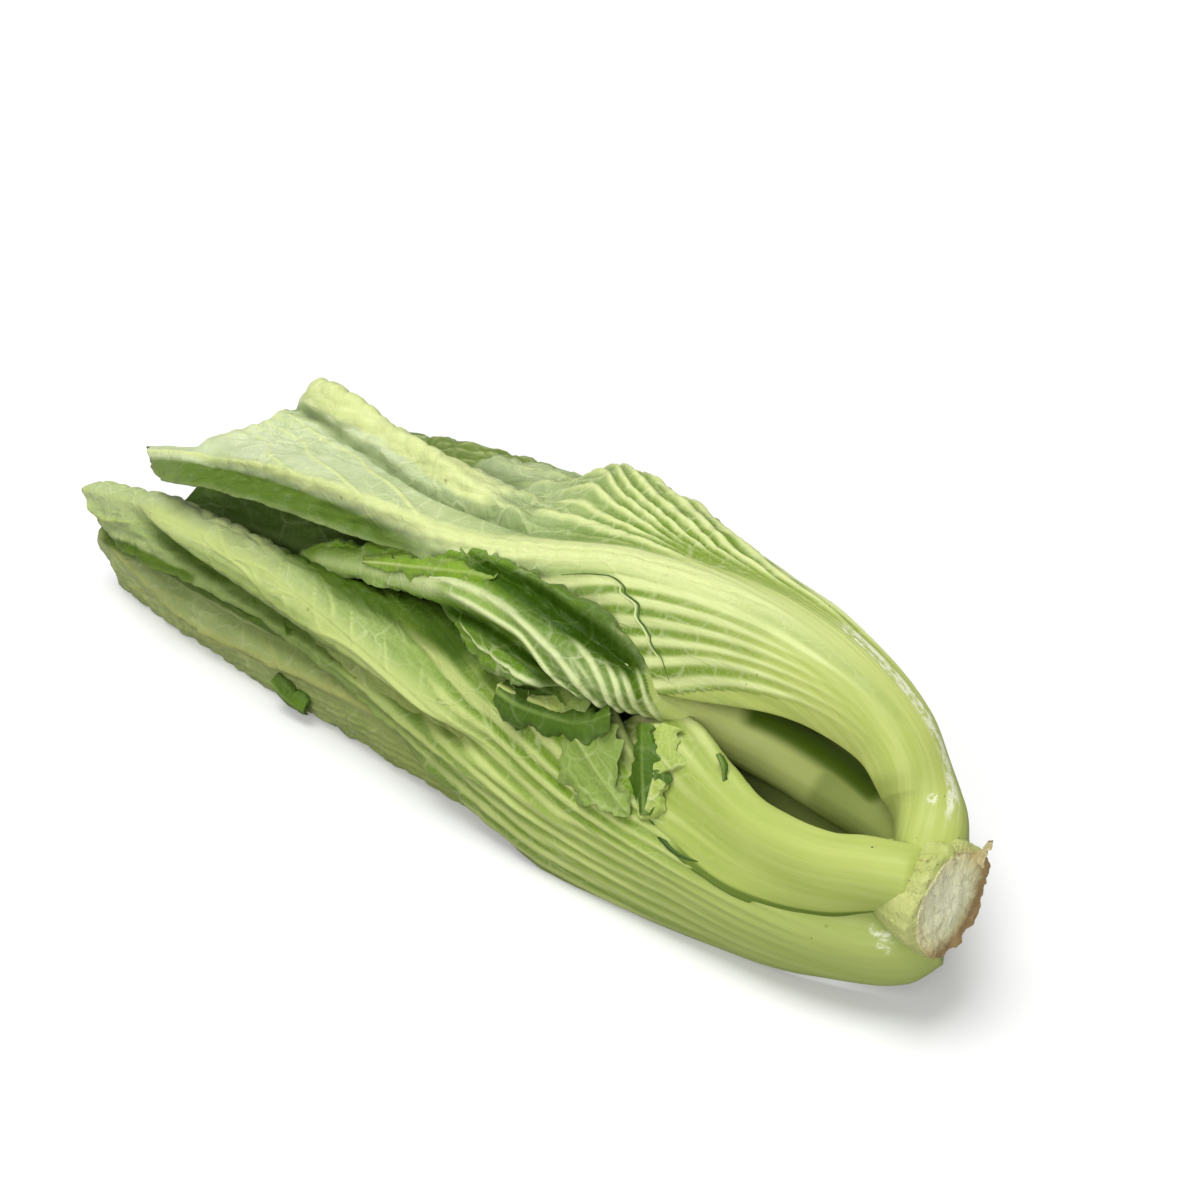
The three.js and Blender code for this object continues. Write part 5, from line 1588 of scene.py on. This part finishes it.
def colour_setting(name, description, default):
    return bpy.props.FloatVectorProperty(
        name=name, description=description, default=default, subtype="COLOR", min=0.0, max=1.0
    )


class GreensSettings(bpy.types.PropertyGroup):
    """Sizes, colours and stage that can be changed before building"""

    rib_height: bpy.props.FloatProperty(
        name="Rib Height", description="How far the ribs stand out, as a share of their usual height",
        default=1.0, min=0.0, max=2.0, subtype="FACTOR",
    )
    blade_thickness: size_setting("Blade Thickness", "Thickness of a blade beside its midrib", 1.5 * MM, max=0.003)
    margin_thickness: size_setting("Margin Thickness", "Thickness of a blade at its margin", 0.6 * MM, max=0.0015)
    stem_radius: size_setting("Stem Radius", "Radius of the cut stem", 17.5 * MM, max=0.025)
    cut_bevel: size_setting("Cut Bevel", "How far the knife ran back across the cut", 4.5 * MM, max=0.01)
    pith_colour: colour_setting("Pith", "Colour of the middle of the cut", (0.96, 0.95, 0.66))
    rind_colour: colour_setting("Browned Rim", "Colour of the dried rim of the cut", (0.43, 0.29, 0.12))
    soil_colour: colour_setting("Soil", "Colour of the specks of soil", (0.14, 0.10, 0.04))
    fibre_colour: colour_setting("Dry Fibre", "Colour of the dry fibres at the cut", (0.58, 0.47, 0.24))
    camera_distance: size_setting("Camera Distance", "Distance from the camera to the head", 1.075)
    brightness: bpy.props.FloatProperty(
        name="Brightness", description="Strength of the lights and the sky, as a share", default=1.0, min=0.0,
        subtype="FACTOR",
    )


class GREENS_OT_outer_leaves(bpy.types.Operator):
    """Builds the large outer leaves"""

    bl_idname = "greens.outer_leaves"
    bl_label = "Outer Leaves"

    def execute(self, context):
        for name in OUTER_LEAVES:
            build_leaf(name, context.scene.greens)
        return {"FINISHED"}


class GREENS_OT_inner_leaves(bpy.types.Operator):
    """Builds the smaller leaves inside the head"""

    bl_idname = "greens.inner_leaves"
    bl_label = "Inner Leaves"

    def execute(self, context):
        for name in INNER_LEAVES:
            build_leaf(name, context.scene.greens)
        return {"FINISHED"}


class GREENS_OT_stem(bpy.types.Operator):
    """Builds the cut stem"""

    bl_idname = "greens.stem"
    bl_label = "Stem"

    def execute(self, context):
        build_stem(context.scene.greens)
        return {"FINISHED"}


class GREENS_OT_scraps(bpy.types.Operator):
    """Builds the torn bits of leaf, a dark sheet standing for the flap's shadow, the flake at the cut and the fine
    lines
    """

    bl_idname = "greens.scraps"
    bl_label = "Torn Scraps"

    def execute(self, context):
        for seed, name in enumerate(SCRAPS, FIRST_SCRAP_SEED):
            build_scrap(name, seed, context.scene.greens)
        for name in LINES:
            build_line(name, context.scene.greens)
        return {"FINISHED"}


class GREENS_OT_grains(bpy.types.Operator):
    """Strews specks of soil and dry fibres over the finished leaves and stem"""

    bl_idname = "greens.grains"
    bl_label = "Specks and Fibres"

    def execute(self, context):
        build_grains(context.scene.greens)
        return {"FINISHED"}


class GREENS_OT_stage(bpy.types.Operator):
    """Sets the camera, floor and lights"""

    bl_idname = "greens.stage"
    bl_label = "Stage"

    def execute(self, context):
        build_camera(context.scene.greens.camera_distance)
        build_floor()
        build_lights(context.scene.greens.brightness)
        return {"FINISHED"}


OPERATORS = (
    GREENS_OT_outer_leaves, GREENS_OT_inner_leaves, GREENS_OT_stem, GREENS_OT_scraps, GREENS_OT_grains,
    GREENS_OT_stage,
)


class GREENS_PT_panel(bpy.types.Panel):
    """Lists the builders in the sidebar"""

    bl_label = "Mustard Greens"
    bl_idname = "GREENS_PT_panel"
    bl_space_type = "VIEW_3D"
    bl_region_type = "UI"
    bl_category = "Greens"

    def draw(self, context):
        for setting in GreensSettings.__annotations__:
            self.layout.prop(context.scene.greens, setting)
        for operator in OPERATORS:
            self.layout.operator(operator.bl_idname)


CLASSES = (GreensSettings, *OPERATORS, GREENS_PT_panel)


def register():
    for item in CLASSES:
        bpy.utils.register_class(item)
    bpy.types.Scene.greens = bpy.props.PointerProperty(type=GreensSettings)


def unregister():
    del bpy.types.Scene.greens
    for item in reversed(CLASSES):
        bpy.utils.unregister_class(item)


def main():
    register()
    bpy.ops.greens.stage()
    bpy.ops.greens.outer_leaves()
    bpy.ops.greens.inner_leaves()
    bpy.ops.greens.stem()
    bpy.ops.greens.scraps()
    bpy.ops.greens.grains()


if __name__ == "__main__":
    main()
